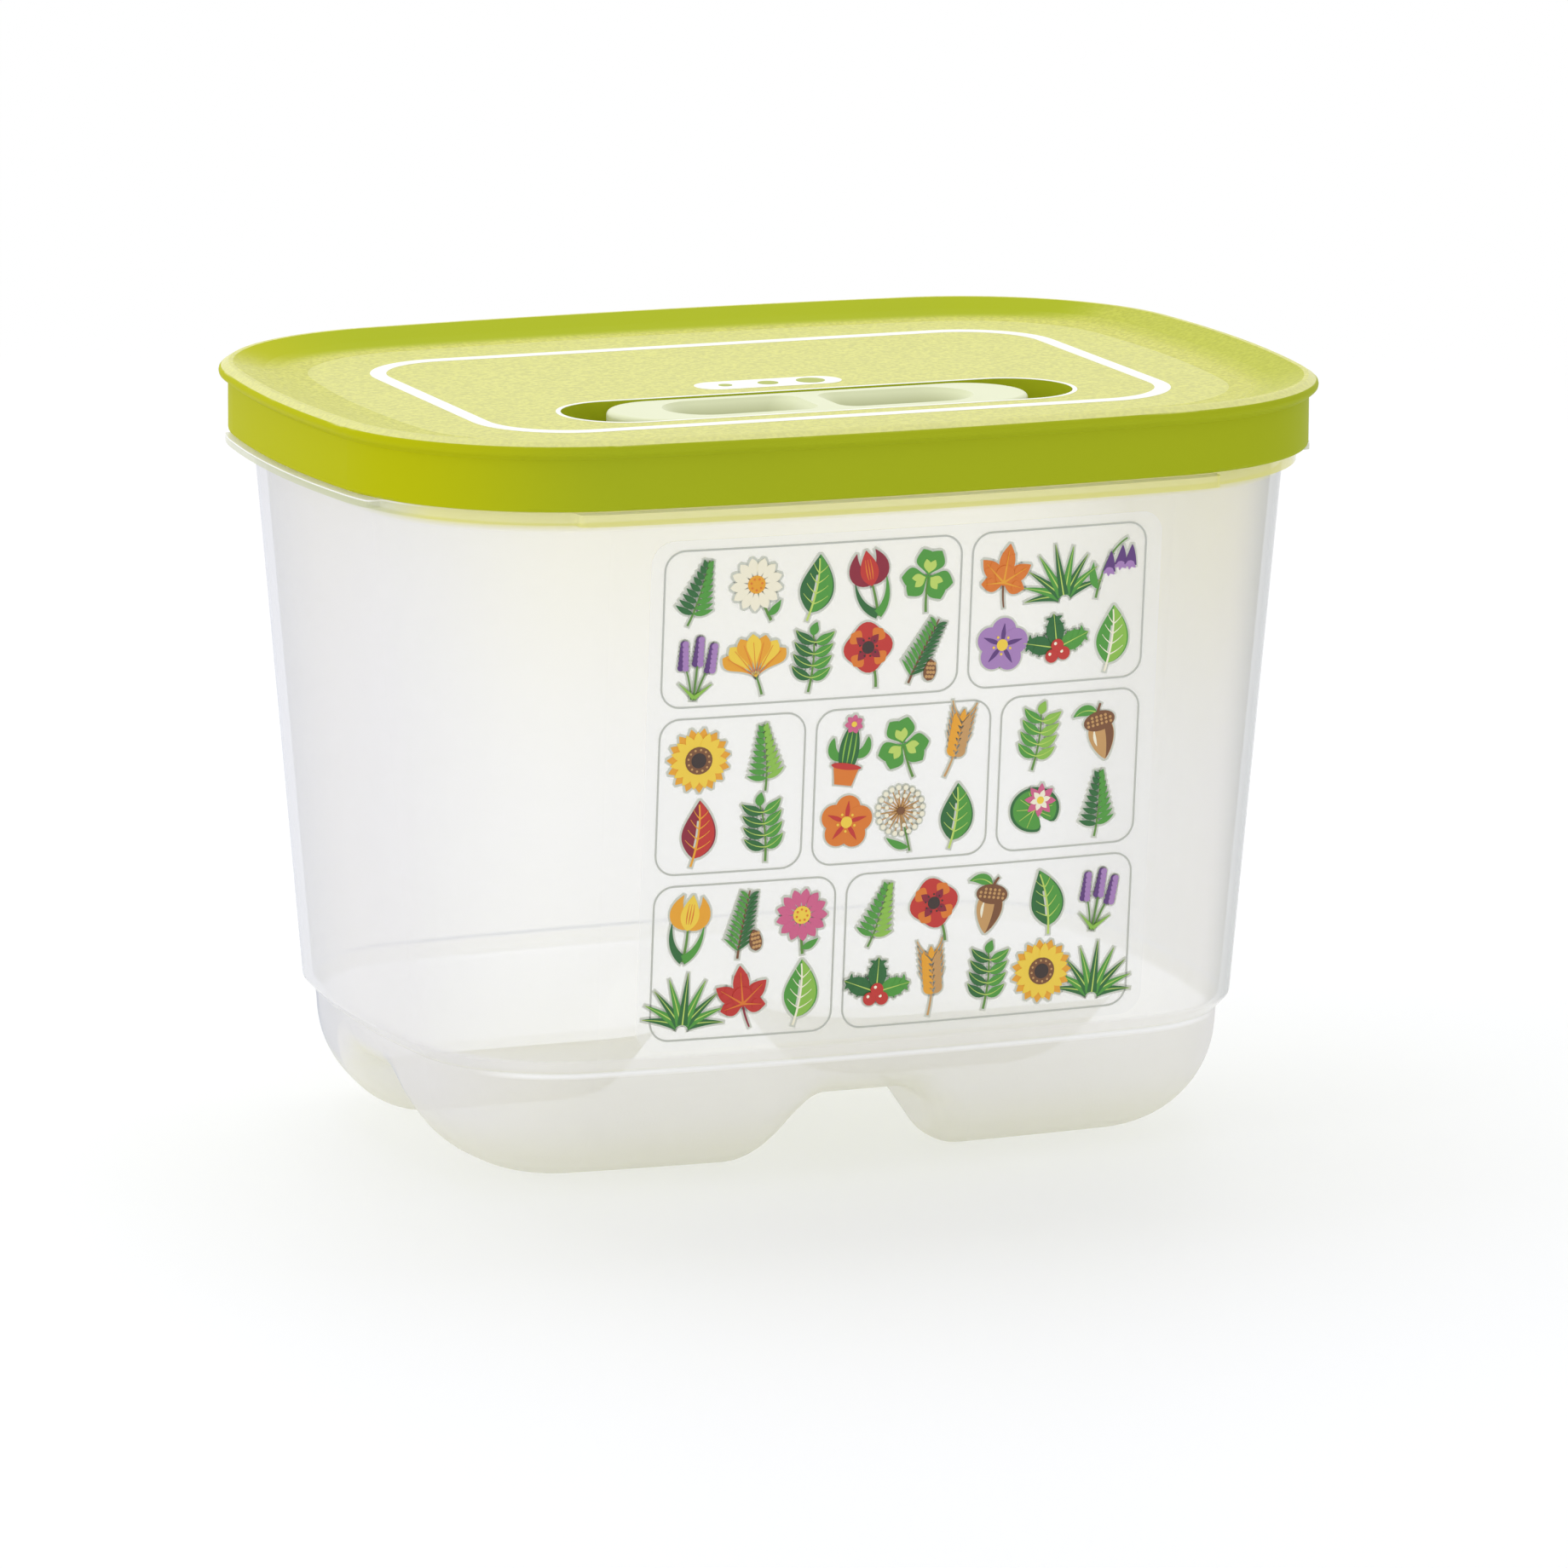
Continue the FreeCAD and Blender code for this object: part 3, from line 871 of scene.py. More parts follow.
def draw_leaf(p, deep, bright, vein):
    line = ((0, -5.2), (1.2, 0), (0, 6.2))
    p.strip(line, 6.8, deep, belly=0.42, rows=16)
    p.strip(line, 6.2, bright, belly=0.42, sides=(0, 1), rows=16, halo=False)
    p.strip(((-0.3, -6.8), (1.2, 0), (0, 5.4)), 0.44, vein, "stem")
    for k in range(4):
        low, reach = -3.4 + 2.0 * k, 2.5 - 0.32 * k
        for side in (-1, 1):
            line = ((0.5, low), (0.5 + side * reach * 0.6, low + 0.7), (0.5 + side * reach, low + 1.8))
            p.strip(line, 0.26, vein, "blade", rows=4, halo=False)


def draw_sprig(p, first, second):
    p.strip(((0, -6.6), (0.9, 0), (-0.4, 5)), 0.5, "stem", "stem")
    for k in range(4):
        low = -3.8 + 2.3 * k
        for side, tone in ((-1, first), (1, second)):
            line = ((0.3, low), (side * 2.2, low + 0.2), (side * 3.9, low + 2.2))
            p.strip(line, 2.0, tone, rows=8)
            p.strip(line, 0.22, "lime", "blade", rows=5, halo=False)
    p.strip(((-0.3, 4.4), (-0.4, 5.6), (0.2, 7)), 1.8, second, rows=8)


def draw_fern(p, first, second):
    p.strip(((-1.2, -6.6), (0.6, -1), (0.8, 6.4)), 0.45, "stem", "stem")
    for k in range(9):
        low, reach = -4.2 + 1.16 * k, 3.7 * (1 - k / 10.5)
        x = -0.5 + 0.14 * k
        for side, tone in ((-1, first), (1, second)):
            line = ((x, low), (x + side * reach * 0.6, low + 0.35), (x + side * reach, low + 1.3))
            p.strip(line, 1.15, tone, belly=0.4, rows=6)


def draw_clover(p, deep, bright):
    heart = (0, 0.6)
    p.strip(((0.9, -6.4), (0.2, -3.4), heart), 0.55, "stem", "stem")
    for angle in (90, 210, 330):
        for lean in (-21, 21):
            line = (heart, spoke(angle + lean * 0.6, 2.6, heart), spoke(angle + lean, 5.4, heart))
            p.strip(line, 4.0, deep, belly=0.62, rows=12)
    for angle in (90, 210, 330):
        for lean in (-16, 16):
            middle = spoke(angle + lean, 1.8, heart)
            line = (spoke(angle, 0.6, heart), middle, spoke(angle + lean, 3.3, heart))
            p.strip(line, 1.5, bright, belly=0.6, rows=8, halo=False)


def draw_daisy(p, petal, heart):
    p.strip(((1.6, -6.6), (0.6, -3), (0, 0)), 0.6, "stem", "stem")
    p.strip(((1.2, -5.4), (2.8, -5.0), (4.2, -3.2)), 1.5, "leaf bright", rows=8)
    p.petals(13, 0.8, 5.2, 1.9, petal, belly=0.66, centre=(0, 1))
    p.disc((0, 1), 1.75, heart)
    p.dots(7, 1.1, 0.24, "orange", (0, 1))


def draw_sunflower(p):
    p.petals(15, 1.6, 6.3, 2.3, "amber", belly=0.5)
    p.petals(15, 1.6, 5.6, 1.9, "yellow", belly=0.5, turn=102, halo=False)
    p.disc((0, 0), 2.7, "brown", halo=False)
    p.disc((0, 0), 1.5, "dark", halo=False)
    p.dots(12, 2.1, 0.22, "tan")


def draw_blossom(p, petal, streak, heart):
    for k in range(5):
        p.disc(spoke(90 + 72 * k, 2.8), 2.55, petal)
    p.petals(5, 0.6, 4.2, 0.9, streak, belly=0.4, halo=False)
    p.disc((0, 0), 1.15, heart, halo=False)
    p.dots(5, 1.8, 0.26, heart, turn=54)


def draw_poppy(p):
    p.strip(((1.0, -6.6), (1.4, -3), (0, 0)), 0.55, "stem", "stem")
    p.disc((0, 1.4), 4.6, "red", lambda angle: 1 + 0.09 * math.cos(4 * angle), corners=36)
    p.petals(4, 1.2, 4.5, 3.1, "orange", belly=0.66, turn=45, centre=(0, 1.4), halo=False)
    p.petals(4, 1.0, 3.2, 1.6, "crimson", belly=0.4, turn=45, centre=(0, 1.4), halo=False)
    p.disc((0, 1.4), 1.25, "dark", halo=False)
    p.dots(9, 1.75, 0.2, "dark", (0, 1.4))


def draw_tulip(p, side_tone, front_tone, streak):
    p.strip(((0.2, -6.8), (0.5, -3), (0, 0.4)), 0.6, "stem", "stem")
    for side, tone in ((-1, "leaf deep"), (1, "leaf bright")):
        p.strip(((0.2, -6.4), (side * 3.4, -4.4), (side * 3.2, 0.8)), 1.9, tone, "blade", rows=12)
    for side in (-1, 1):
        p.strip(((0, -0.4), (side * 4.2, 1.6), (side * 1.9, 6.2)), 3.0, side_tone, belly=0.45, rows=12)
    p.strip(((0, -0.7), (0, 2.4), (0, 6.4)), 3.7, front_tone, belly=0.45, rows=12)
    for x in (-0.7, 0, 0.7):
        p.strip(((x * 0.6, 0.6), (x, 2.2), (x * 0.7, 4.6)), 0.26, streak, rows=6, halo=False)


def draw_bells(p, tone, lip):
    p.strip(((-2.4, -6.6), (-2.2, 2.6), (2.0, 5.6)), 0.5, "stem", "stem", rows=14)
    p.strip(((-2.2, -4.8), (-4.2, -3.2), (-4.2, 0.2)), 1.6, "leaf bright", rows=8)
    for x, y in ((-0.6, 2.2), (1.6, 3.6), (3.6, 3.9)):
        p.strip(((x, y - 3.4), (x, y - 1.4), (x - 0.3, y + 0.5)), 2.7, tone, "blade")
        for turn in (-40, 0, 40):
            line = ((x, y - 2.6), (x, y - 3.2), spoke(270 + turn, 2.0, (x, y - 2.4)))
            p.strip(line, 1.1, lip, rows=5, halo=False)


def draw_maple(p, tone, deeper, vein):
    base = (0, -1.8)
    arms = ((90, 7.6), (38, 6.4), (142, 6.4), (-10, 4.6), (190, 4.6))
    p.strip((base, (0.2, -4.2), (1.0, -6.6)), 0.5, deeper, "stem")
    for angle, reach in arms:
        line = (base, spoke(angle, reach * 0.5, base), spoke(angle, reach, base))
        p.strip(line, 3.3, tone, belly=0.52, rows=12)
    for angle, reach in arms:
        for lean in (-26, 26):
            fork = spoke(angle, reach * 0.42, base)
            side = angle + lean
            p.strip((fork, spoke(side, reach * 0.2, fork), spoke(side, reach * 0.38, fork)), 1.5, tone)
    p.disc((0, -0.4), 2.0, tone, halo=False)
    for angle, reach in arms:
        line = (base, spoke(angle, reach * 0.4, base), spoke(angle, reach * 0.82, base))
        p.strip(line, 0.42, vein, "blade", rows=6, halo=False)


def draw_acorn(p):
    p.strip(((-0.2, 4.0), (-2.4, 5.8), (-5.2, 4.4)), 2.2, "leaf bright")
    p.strip(((-0.2, 4.0), (-2.4, 5.6), (-4.6, 4.5)), 0.24, "lime", "blade", halo=False)
    p.strip(((0, -5.6), (0, -1.5), (0, 3.2)), 5.4, "tan", "pod", belly=0.62, rows=14)
    shady = {"belly": 0.62, "sides": (-0.35, 1), "rows": 14, "halo": False}
    p.strip(((0, -5.5), (0, -1.5), (0, 3.0)), 5.2, "brown", "pod", **shady)
    p.strip(((-1.3, -2.6), (-1.7, -0.8), (-1.3, 0.8)), 0.6, "cream", halo=False)
    p.disc((0, 2.2), 3.3, "brown", stretch=0.6)
    for row, count in ((1.6, 6), (2.4, 6), (3.1, 4)):
        for k in range(count):
            p.disc(((k - (count - 1) / 2) * 0.95, row), 0.3, "tan", halo=False, corners=8)
    p.strip(((0, 3.9), (0.2, 4.8), (0.8, 5.6)), 0.6, "brown", "stem", rows=4)


def draw_fir(p):
    p.strip(((-2.6, -6.4), (-0.6, 0), (2.2, 6.2)), 0.5, "brown", "stem")
    for k in range(11):
        along = k / 11
        x, y = -2.3 + 4.4 * along, -4.8 + 10.4 * along
        for lean, tone in ((58, "leaf bright"), (-46, "leaf deep")):
            tip = spoke(68 + lean, 3.7 - 1.5 * along, (x, y))
            p.strip(((x, y), spoke(68 + lean * 0.8, 1.7, (x, y)), tip), 0.72, tone, rows=5)
    p.strip(((1.2, -5.8), (1.7, -4), (1.5, -1.6)), 2.5, "brown", "pod", rows=10)
    for k in range(4):
        for x in (0.9, 1.5, 2.1):
            p.disc((x + 0.2 * (k % 2), -5.0 + 0.85 * k), 0.33, "tan", halo=False, corners=8)


def draw_ginkgo(p, first, second):
    p.strip(((0.9, -6.6), (0.6, -4.6), (0, -2.6)), 0.5, "stem", "stem")
    for k in (0, 6, 1, 5, 2, 4, 3):
        angle = 90 + (k - 3) * 18
        line = ((0, -3), spoke(angle, 4, (0, -3)), spoke(angle, 8.4 - 0.18 * abs(k - 3), (0, -3)))
        p.strip(line, 3.0, second if k % 2 else first, belly=0.76, rows=12)
    for k in range(7):
        angle = 90 + (k - 3) * 17
        line = (spoke(angle, 1.2, (0, -3)), spoke(angle, 4, (0, -3)), spoke(angle, 6.8, (0, -3)))
        p.strip(line, 0.2, "orange", "blade", rows=5, halo=False)


def draw_lily_pad(p):
    def notched(angle):
        return 1 - 0.9 * math.exp(-(((angle + 0.9) / 0.2) ** 2))

    heart = (0, -0.4)
    p.disc(heart, 5.2, "leaf deep", notched, stretch=0.86, corners=60)
    p.disc(heart, 4.6, "leaf bright", notched, stretch=0.86, halo=False, corners=60)
    for k in range(9):
        angle = -20 + 34 * k
        line = (heart, spoke(angle, 2, heart), spoke(angle, 3.8, heart))
        p.strip(line, 0.22, "lime", "blade", halo=False)
    p.petals(8, 0.2, 3.3, 1.5, "rose", belly=0.5, centre=(0.9, 1.5))
    p.petals(6, 0.2, 2.1, 1.1, "cream", belly=0.5, turn=75, centre=(0.9, 1.5), halo=False)
    p.disc((0.9, 1.5), 0.75, "yellow", halo=False)


def draw_aloe(p, first, second):
    for k in (0, 8, 1, 7, 2, 6, 3, 5, 4):
        angle = 90 + (k - 4) * 19
        reach = 10.2 - 0.75 * abs(k - 4)
        base = (0.25 * (4 - k), -5.2)
        line = (base, spoke(angle, reach * 0.5, base), spoke(angle + (k - 4) * 2, reach, base))
        p.strip(line, 2.1, second if k % 2 else first, "blade", rows=12)
        p.strip(line, 0.3, "lime", "blade", rows=8, halo=False)


def draw_ear(p):
    p.strip(((-1.4, -6.8), (0.2, -2), (0.1, 3)), 0.45, "tan", "stem")
    for k in range(6):
        low = -2.6 + 1.25 * k
        for side, tone in ((-1, "amber"), (1, "tan")):
            line = ((0, low + 1), (side * 2.2, low + 3), (side * 2.6, low + 4.6))
            p.strip(line, 0.18, "amber", "blade", rows=6)
            p.strip(((0.1, low), (side * 1.9, low + 0.7), (side * 1.4, low + 2.3)), 1.3, tone, rows=8)
    p.strip(((0.1, 4.4), (0.1, 5.4), (0.2, 6.8)), 1.2, "amber", rows=8)


def draw_lavender(p):
    for x, top in ((-2.7, 0.2), (2.6, 0.0), (0, 1.2)):
        p.strip(((x * 0.15, -6.8), (x * 0.4, -2.6), (x, top)), 0.4, "stem", "stem")
        for k in range(6):
            level = top - 0.9 + 0.92 * k
            for side, tone in ((-1, "violet"), (1, "lilac")):
                p.disc((x + x * 0.02 * k + side * 0.5 * (1 - k / 8), level), 0.66, tone, corners=12)
    p.strip(((0, -6.4), (-1.6, -5), (-3.2, -3.8)), 0.8, "leaf pale", "blade")
    p.strip(((0, -6.4), (1.6, -5), (3.2, -3.6)), 0.8, "leaf pale", "blade")


def draw_cactus(p):
    for side, low in ((-1, -0.6), (1, 0.4)):
        line = ((side * 0.8, low - 1), (side * 4.2, low - 1.2), (side * 3.5, low + 2.8))
        p.strip(line, 1.9, "leaf bright", "pod", rows=12)
    p.strip(((0, -4.2), (0, 0), (0, 5.4)), 4.1, "leaf deep", "pod", rows=16)
    for x in (-1.1, 0, 1.1):
        p.strip(((x * 0.8, -3), (x * 1.2, 0.6), (x * 0.7, 4.5)), 0.3, "leaf pale", rows=10, halo=False)
    p.petals(7, 0.2, 1.9, 1.1, "rose", centre=(0, 5.3))
    p.disc((0, 5.3), 0.55, "yellow", halo=False)
    p.strip(((0, -3.0), (0, -4.8), (0, -6.8)), 5.4, "orange", "stem")
    p.strip(((-3.1, -3.1), (0, -3.1), (3.1, -3.1)), 1.3, "red", "pod", rows=12)


def draw_holly(p):
    for angle, tone in ((160, "leaf deep"), (20, "leaf bright"), (92, "leaf deep")):
        line = ((0, -1.4), spoke(angle, 3.6, (0, -1.6)), spoke(angle, 7.2, (0, -1.8)))
        p.strip(line, 3.7, tone, belly=0.5, rows=12)
        for k in range(3):
            for lean in (-62, 62):
                foot = spoke(angle, 2.2 + 1.6 * k, (0, -1.6))
                tip = spoke(angle + lean, 2.5 - 0.3 * k, foot)
                p.strip((foot, spoke(angle + lean * 0.7, 1.2, foot), tip), 1.2, tone, "blade", rows=5)
        p.strip(line, 0.3, "lime", "blade", halo=False)
    for x, y in ((-1.2, -2.8), (1.3, -2.6), (0.1, -0.9)):
        p.disc((x, y), 1.3, "red")
        p.disc((x - 0.4, y + 0.45), 0.32, "cream", halo=False, corners=10)


def draw_seed_head(p):
    p.strip(((1.4, -6.8), (0.8, -2), (0, 1.4)), 0.45, "stem", "stem")
    p.strip(((1.2, -6.0), (-1.2, -5.6), (-3.2, -3.4)), 1.5, "leaf bright", rows=8)
    heart = (0, 1.6)
    rings = ((20, 0.6, 4.6, 0.3, 90, 0.5), (12, 0.4, 3.0, 0.26, 99, 0.42))
    for count, inner, outer, width, turn, dot in rings:
        p.petals(count, inner, outer, width, "tan", turn=turn, form="stem", centre=heart, halo=False)
        for k in range(count):
            p.disc(spoke(turn + 360 / count * k, outer, heart), dot, "cream", corners=10)
    p.disc(heart, 0.8, "brown", halo=False)


PICTURES = {
    "leaf": (draw_leaf, "leaf deep", "leaf bright", "lime"),
    "pale_leaf": (draw_leaf, "leaf bright", "leaf pale", "cream"),
    "red_leaf": (draw_leaf, "crimson", "red", "amber"),
    "sprig": (draw_sprig, "leaf deep", "leaf bright"),
    "pale_sprig": (draw_sprig, "leaf bright", "leaf pale"),
    "fern": (draw_fern, "leaf deep", "leaf bright"),
    "pale_fern": (draw_fern, "leaf bright", "leaf pale"),
    "clover": (draw_clover, "leaf bright", "lime"),
    "daisy": (draw_daisy, "cream", "amber"),
    "rose_daisy": (draw_daisy, "rose", "yellow"),
    "sunflower": (draw_sunflower,),
    "lilac_blossom": (draw_blossom, "lilac", "violet", "yellow"),
    "orange_blossom": (draw_blossom, "orange", "red", "yellow"),
    "poppy": (draw_poppy,),
    "red_tulip": (draw_tulip, "crimson", "red", "orange"),
    "yellow_tulip": (draw_tulip, "amber", "yellow", "orange"),
    "bells": (draw_bells, "violet", "lilac"),
    "maple": (draw_maple, "orange", "brown", "amber"),
    "red_maple": (draw_maple, "red", "crimson", "orange"),
    "acorn": (draw_acorn,),
    "fir": (draw_fir,),
    "ginkgo": (draw_ginkgo, "amber", "yellow"),
    "lily_pad": (draw_lily_pad,),
    "aloe": (draw_aloe, "leaf deep", "leaf bright"),
    "ear": (draw_ear,),
    "lavender": (draw_lavender,),
    "cactus": (draw_cactus,),
    "holly": (draw_holly,),
    "seed_head": (draw_seed_head,),
}
LABEL_ROWS = (
    (
        (
            0.62,
            (
                ("fern", "daisy", "leaf", "red_tulip", "clover"),
                ("lavender", "ginkgo", "sprig", "poppy", "fir"),
            ),
        ),
        (0.38, (("maple", "aloe", "bells"), ("lilac_blossom", "holly", "pale_leaf"))),
    ),
    (
        (0.31, (("sunflower", "pale_fern"), ("red_leaf", "sprig"))),
        (0.38, (("cactus", "clover", "ear"), ("orange_blossom", "seed_head", "leaf"))),
        (0.31, (("pale_sprig", "acorn"), ("lily_pad", "fern"))),
    ),
    (
        (0.38, (("yellow_tulip", "fir", "rose_daisy"), ("aloe", "red_maple", "pale_leaf"))),
        (
            0.62,
            (
                ("pale_fern", "poppy", "acorn", "leaf", "lavender"),
                ("holly", "ear", "sprig", "sunflower", "aloe"),
            ),
        ),
    ),
)
PICTURE_HEIGHT = 13.6 * MM
PICTURE_LEANS = (-9, 6, 12, -5)
PICTURE_SHARE = 0.97
TALL_SHARE = 1.25
PANEL_PAD = 1.2 * MM
LEFT_EXTRA, RIGHT_EXTRA = 0.6 * MM, 1.2 * MM
LONG_EDGE, LONG_EDGE_CUTS = 5 * MM, 15
INK_BODY = 0.15 * MM
FILM_LOW, FILM_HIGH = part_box("label_film")
FILM_DEPTH = 0.35 * MM
WALL_FOOT, WALL_HEIGHT = 23.4 * MM, 93.0 * MM
WALL_INSET_LOW, WALL_INSET_RISE = 14.0 * MM, 8.0 * MM
BOW_RADIUS, BOW_CENTRE = 650 * MM, 583.15 * MM


def on_film(x, z, lift):
    """Point on the film's outer face, which follows the bowed and sloping front wall."""
    inset = WALL_INSET_LOW - WALL_INSET_RISE * (z - WALL_FOOT) / WALL_HEIGHT
    radius = BOW_RADIUS - inset + FILM_DEPTH + lift
    return Vector((x, BOW_CENTRE - math.sqrt(radius**2 - x**2), z))


class KEEPER_OT_label(bpy.types.Operator):
    """Print the label's panels and pictures on the film"""

    bl_idname = "keeper.label"
    bl_label = "Printed label"

    def execute(self, context):
        sizes = context.scene.keeper_label
        inks = {name: ink("label ink " + name, code) for name, code in INK_SHADES.items()}
        inks["halo"] = ink("label ink halo", sizes.halo_colour)
        inks["line"] = ink("label ink line", sizes.line_ink_and_shade_colour)
        library = {}
        for name, (draw, *tones) in PICTURES.items():
            picture = Picture(inks, sizes.halo, sizes.ink_step)
            draw(picture, *tones)
            library[name] = picture.joined("picture_" + name)
        left = FILM_LOW.x + sizes.margin + LEFT_EXTRA
        right = FILM_HIGH.x - sizes.margin - RIGHT_EXTRA
        low, high = FILM_LOW.z + sizes.margin, FILM_HIGH.z - sizes.margin
        tall = (high - low - sizes.gutter * (len(LABEL_ROWS) - 1)) / len(LABEL_ROWS)
        count = 0
        for number, row in enumerate(LABEL_ROWS):
            top = high - number * (tall + sizes.gutter)
            x = left
            wide = right - left - sizes.gutter * (len(row) - 1)
            for part, lines in row:
                count += 1
                field = (x, top - tall, x + part * wide, top)
                self.print_panel(f"label_panel_{count}", field, lines, library, inks, sizes)
                x += part * wide + sizes.gutter
        pick(*library.values())
        bpy.ops.object.delete()
        return {"FINISHED"}

    def print_panel(self, name, field, lines, library, inks, sizes):
        """One framed panel with its pictures, laid on the film."""
        x0, z0, x1, z1 = field
        shapes = [self.frame_line(field, inks["line"], sizes)]
        tall = (z1 - z0 - 2 * PANEL_PAD) / len(lines)
        for k, line in enumerate(lines):
            wide = (x1 - x0 - 2 * PANEL_PAD) / len(line)
            for j, picture in enumerate(line):
                copy = library[picture].copy()
                copy.data = library[picture].data.copy()
                bpy.context.scene.collection.objects.link(copy)
                across = x0 + PANEL_PAD + (j + 0.5) * wide
                up = z1 - PANEL_PAD - (k + 0.5) * tall
                size = min(tall, TALL_SHARE * wide) / PICTURE_HEIGHT * PICTURE_SHARE
                lean = math.radians(PICTURE_LEANS[(2 * j + 3 * k) % 4])
                turn = Matrix.Rotation(lean, 4, "Z") @ Matrix.Diagonal((size, size, 1, 1))
                copy.data.transform(Matrix.Translation((across, up, 0)) @ turn)
                shapes.append(copy)
        pick(*shapes)
        bpy.ops.object.join()
        panel = bpy.context.active_object
        panel.name = name
        for corner in panel.data.vertices:
            corner.co = on_film(*corner.co)
        body = panel.modifiers.new("ink body", "SOLIDIFY")
        body.thickness = INK_BODY
        body.offset = -1
        bpy.ops.object.modifier_apply(modifier=body.name)
        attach(panel, "tub")

    def frame_line(self, field, finish, sizes):
        """The thin rounded line round a panel, flat, cut fine enough to follow the wall."""
        x0, z0, x1, z1 = field
        middle = ((x0 + x1) / 2, (z0 + z1) / 2, 0)
        line = rounded_plate("panel line", x1 - x0, z1 - z0, sizes.frame_corner, middle)
        open_to_ring(sizes.frame_line)
        bpy.ops.mesh.select_all(action="DESELECT")
        bpy.ops.object.mode_set(mode="OBJECT")
        for edge in line.data.edges:
            a, b = (line.data.vertices[i].co for i in edge.vertices)
            edge.select = (a - b).length > LONG_EDGE
        bpy.ops.object.mode_set(mode="EDIT")
        bpy.ops.mesh.subdivide(number_cuts=LONG_EDGE_CUTS)
        bpy.ops.object.mode_set(mode="OBJECT")
        for corner in line.data.vertices:
            corner.co.z = sizes.ink_step * 2
        line.data.materials.append(finish)
        return line


FLOOR_RADIUS, FLOOR_DROP = 2.4, 0.2 * MM
FADE_START_SHARE = 0.35
LEFT_LAMP = {"size": 0.9, "place": (-1.25, -0.15, 0.75)}
BACK_LAMP = {"size": 1.1, "place": (0.1, 0.7, 1.25)}
LAMP_AIM = Vector((0, 0, 0.06))
CAMERA_TURN = {"azimuth": -0.377, "elevation": 0.1964, "roll": 0.0045}
CAMERA_PLACE = {"distance": 1.93915, "aside": 0.0031914, "below": -0.0714861, "aim height": 0.13077}
CAMERA_LENS, CAMERA_SENSOR = 260.3287, 36


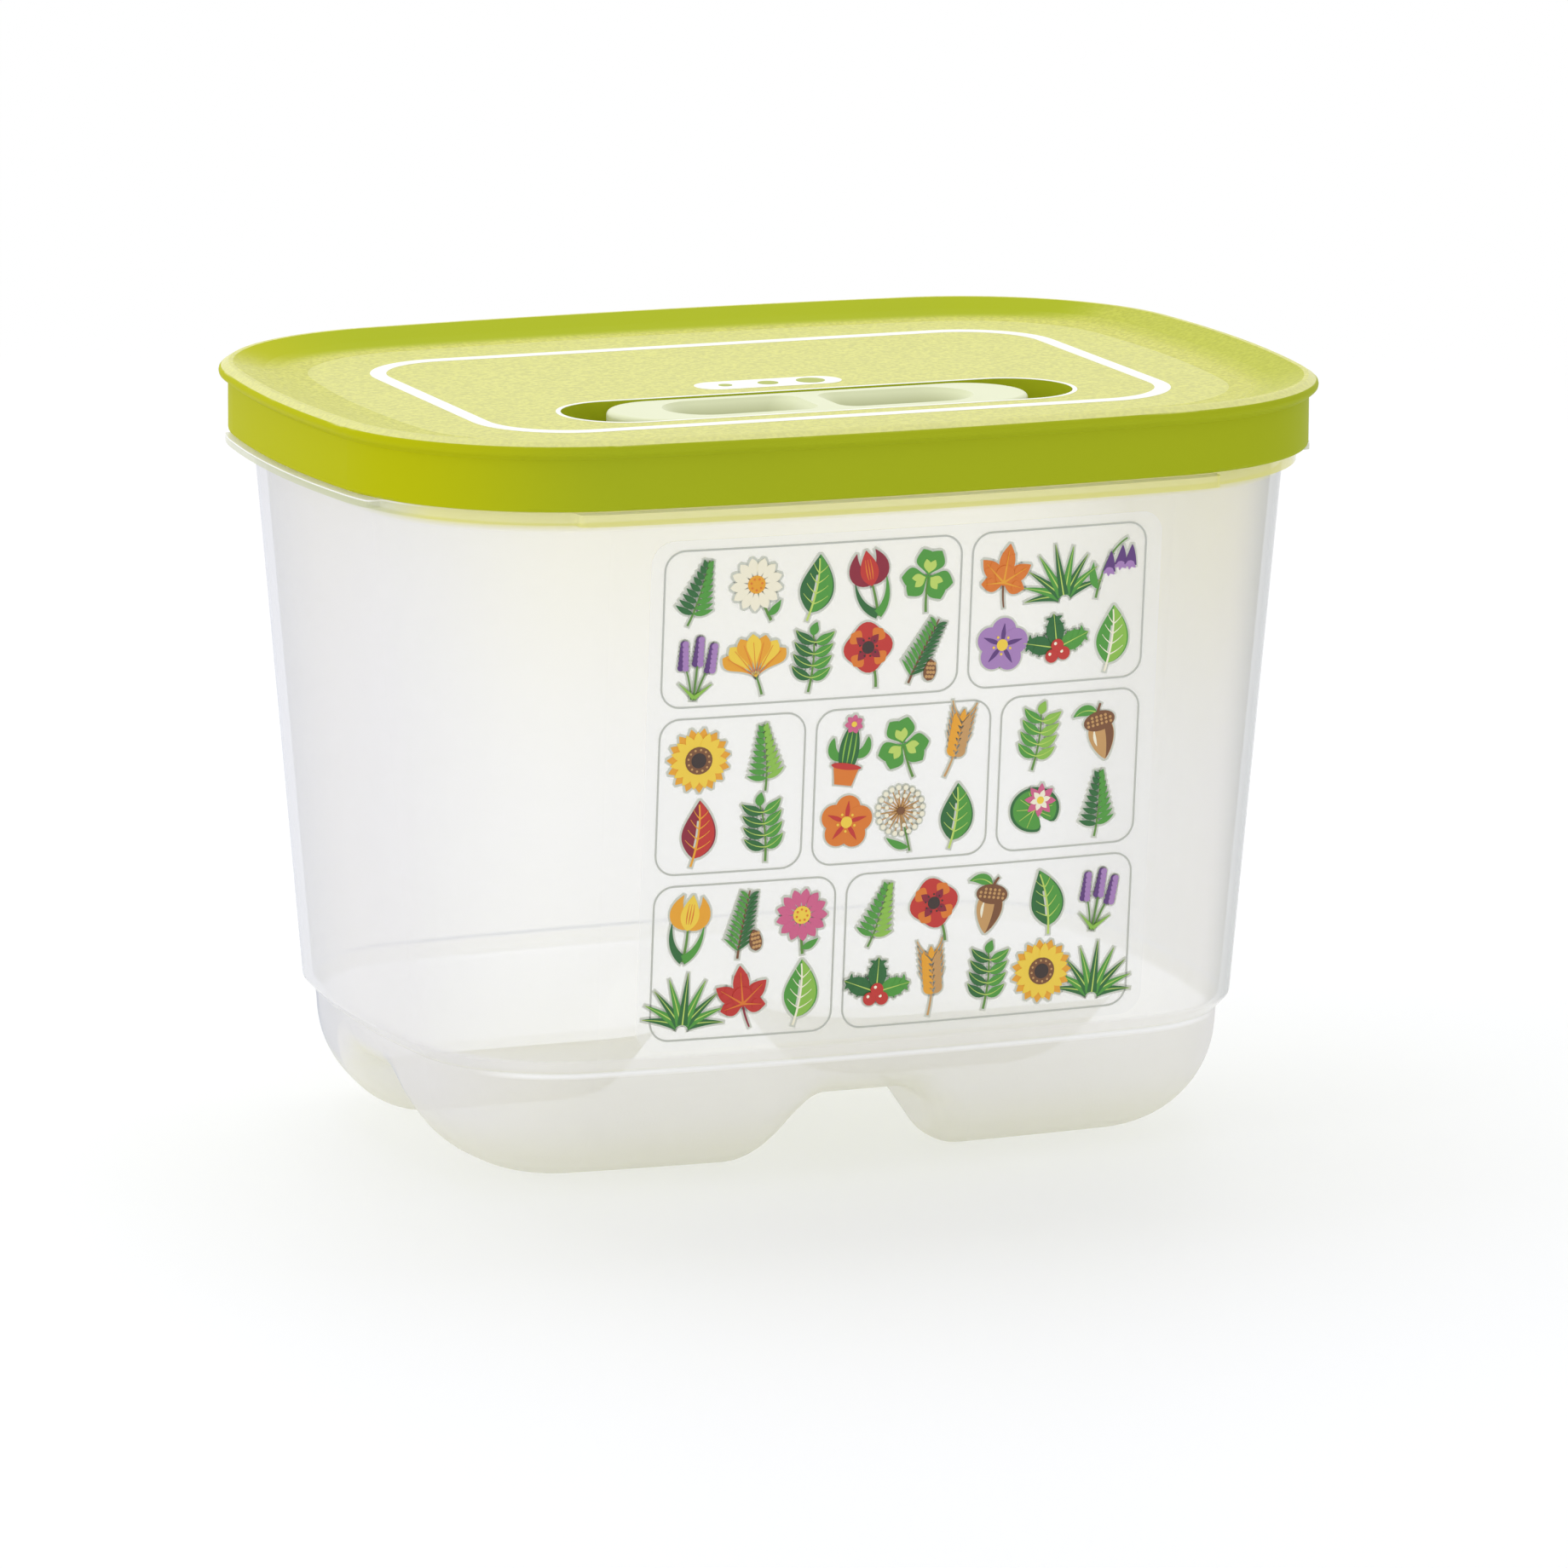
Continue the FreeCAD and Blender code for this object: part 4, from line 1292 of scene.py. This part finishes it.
class KEEPER_OT_stage(bpy.types.Operator):
    """Lay the pale floor, hang the soft lamps and set the camera"""

    bl_idname = "keeper.stage"
    bl_label = "Studio stage"

    def execute(self, context):
        stage = context.scene.keeper_stage
        at_rest()
        disc = {"vertices": 96, "radius": FLOOR_RADIUS, "fill_type": "NGON"}
        bpy.ops.mesh.primitive_circle_add(**disc, location=(0, 0, -FLOOR_DROP))
        floor = bpy.context.active_object
        floor.name = "studio_floor"
        bpy.ops.object.transform_apply(location=True, rotation=True, scale=True)
        floor.data.materials.append(self.floor_finish(stage))
        self.hang("left lamp", stage.key_power, **LEFT_LAMP)
        self.hang("back lamp", stage.back_power, **BACK_LAMP)
        self.light_all_round(context, stage)
        self.set_camera(context)
        context.scene.view_settings.view_transform = "Standard"
        context.scene.cycles.transparent_max_bounces = 32
        return {"FINISHED"}

    def floor_finish(self, stage):
        """Pale floor that is lost in the white round it."""
        finish, shader = new_finish("pale studio floor")
        tree = finish.node_tree
        shader.inputs["Base Color"].default_value = (*stage.floor_colour, 1)
        shader.inputs["Roughness"].default_value = 0.5
        shader.inputs["Specular IOR Level"].default_value = 0.25
        place = add_node(tree, "ShaderNodeTexCoord")
        far = add_node(tree, "ShaderNodeVectorMath", operation="LENGTH")
        link(tree, place.outputs["Object"], far.inputs[0])
        reach = stage.floor_reach
        fade = ramp(tree, far.outputs["Value"], reach, FADE_START_SHARE * reach)
        link(tree, fade, shader.inputs["Alpha"])
        white = add_node(tree, "ShaderNodeEmission")
        rays = add_node(tree, "ShaderNodeLightPath")
        lift = both(tree, rays.outputs["Is Camera Ray"], stage.floor_lift)
        mix_shaders(tree, lift, shader, white, "Material Output")
        return finish

    def hang(self, name, power, size, place):
        """A square soft lamp that points at the part."""
        at_rest()
        bpy.ops.object.light_add(type="AREA", location=place)
        lamp = bpy.context.active_object
        lamp.name = name
        lamp.data.energy = power
        lamp.data.size = size
        lamp.visible_glossy = False
        aim = LAMP_AIM - Vector(place)
        lamp.rotation_euler = aim.to_track_quat("-Z", "Y").to_euler()

    def light_all_round(self, context, stage):
        """Even white light, with a white background in sight and in reflections."""
        world = bpy.data.worlds.new("studio white")
        context.scene.world = world
        world.use_nodes = True
        tree = world.node_tree
        even = tree.nodes["Background"]
        even.inputs["Strength"].default_value = stage.fill
        seen = add_node(tree, "ShaderNodeBackground")
        rays = add_node(tree, "ShaderNodeLightPath")
        in_sight = either(tree, rays.outputs["Is Camera Ray"], rays.outputs["Is Glossy Ray"])
        in_sight = either(tree, in_sight, rays.outputs["Is Transmission Ray"])
        for node in (even, seen):
            node.inputs["Color"].default_value = (*WHITE, 1)
        mix_shaders(tree, in_sight, even, seen, "World Output")

    def set_camera(self, context):
        """Camera at the photograph's viewing angle."""
        azimuth, elevation, roll = CAMERA_TURN.values()
        distance, aside, below, aim_height = CAMERA_PLACE.values()
        level = math.cos(elevation)
        back = Vector((math.sin(azimuth) * level, -math.cos(azimuth) * level, math.sin(elevation)))
        right = Vector((math.cos(azimuth), math.sin(azimuth), 0))
        up = back.cross(right)
        place = back * distance + right * aside + up * below + Vector((0, 0, aim_height))
        at_rest()
        bpy.ops.object.camera_add()
        camera = bpy.context.active_object
        turn = Matrix((right, up, back)).transposed() @ Matrix.Rotation(roll, 3, "Z")
        camera.matrix_world = Matrix.Translation(place) @ turn.to_4x4()
        camera.data.sensor_width = CAMERA_SENSOR
        camera.data.lens = CAMERA_LENS
        context.scene.camera = camera


class KEEPER_PT_dressing(bpy.types.Panel):
    """Lists the keeper's dressing steps and their settings"""

    bl_idname = "KEEPER_PT_dressing"
    bl_label = "Food keeper"
    bl_space_type = "VIEW_3D"
    bl_region_type = "UI"
    bl_category = "Keeper"

    def draw(self, context):
        for step in STEPS:
            self.layout.operator(step.bl_idname)
        for key, group in SETTINGS.items():
            box = self.layout.box()
            box.label(text=group.__doc__)
            for name in group.__annotations__:
                box.prop(getattr(context.scene, key), name)


SETTINGS = {
    "keeper_tub": KeeperTub,
    "keeper_lid": KeeperLid,
    "keeper_lid_lines": KeeperLidLines,
    "keeper_label": KeeperLabel,
    "keeper_stage": KeeperStage,
}
STEPS = (
    KEEPER_OT_stage,
    KEEPER_OT_tub,
    KEEPER_OT_lid,
    KEEPER_OT_slider,
    KEEPER_OT_film,
    KEEPER_OT_lid_lines,
    KEEPER_OT_label,
)


def register():
    for group in SETTINGS.values():
        bpy.utils.register_class(group)
    for key, group in SETTINGS.items():
        setattr(bpy.types.Scene, key, bpy.props.PointerProperty(type=group))
    for step in STEPS:
        bpy.utils.register_class(step)
    bpy.utils.register_class(KEEPER_PT_dressing)


def unregister():
    bpy.utils.unregister_class(KEEPER_PT_dressing)
    for step in reversed(STEPS):
        bpy.utils.unregister_class(step)
    for key, group in SETTINGS.items():
        delattr(bpy.types.Scene, key)
        bpy.utils.unregister_class(group)


def main():
    register()
    bpy.ops.keeper.stage()
    bpy.ops.keeper.tub()
    bpy.ops.keeper.lid()
    bpy.ops.keeper.slider()
    bpy.ops.keeper.film()
    bpy.ops.keeper.lid_lines()
    bpy.ops.keeper.label()


if __name__ == "__main__":
    main()
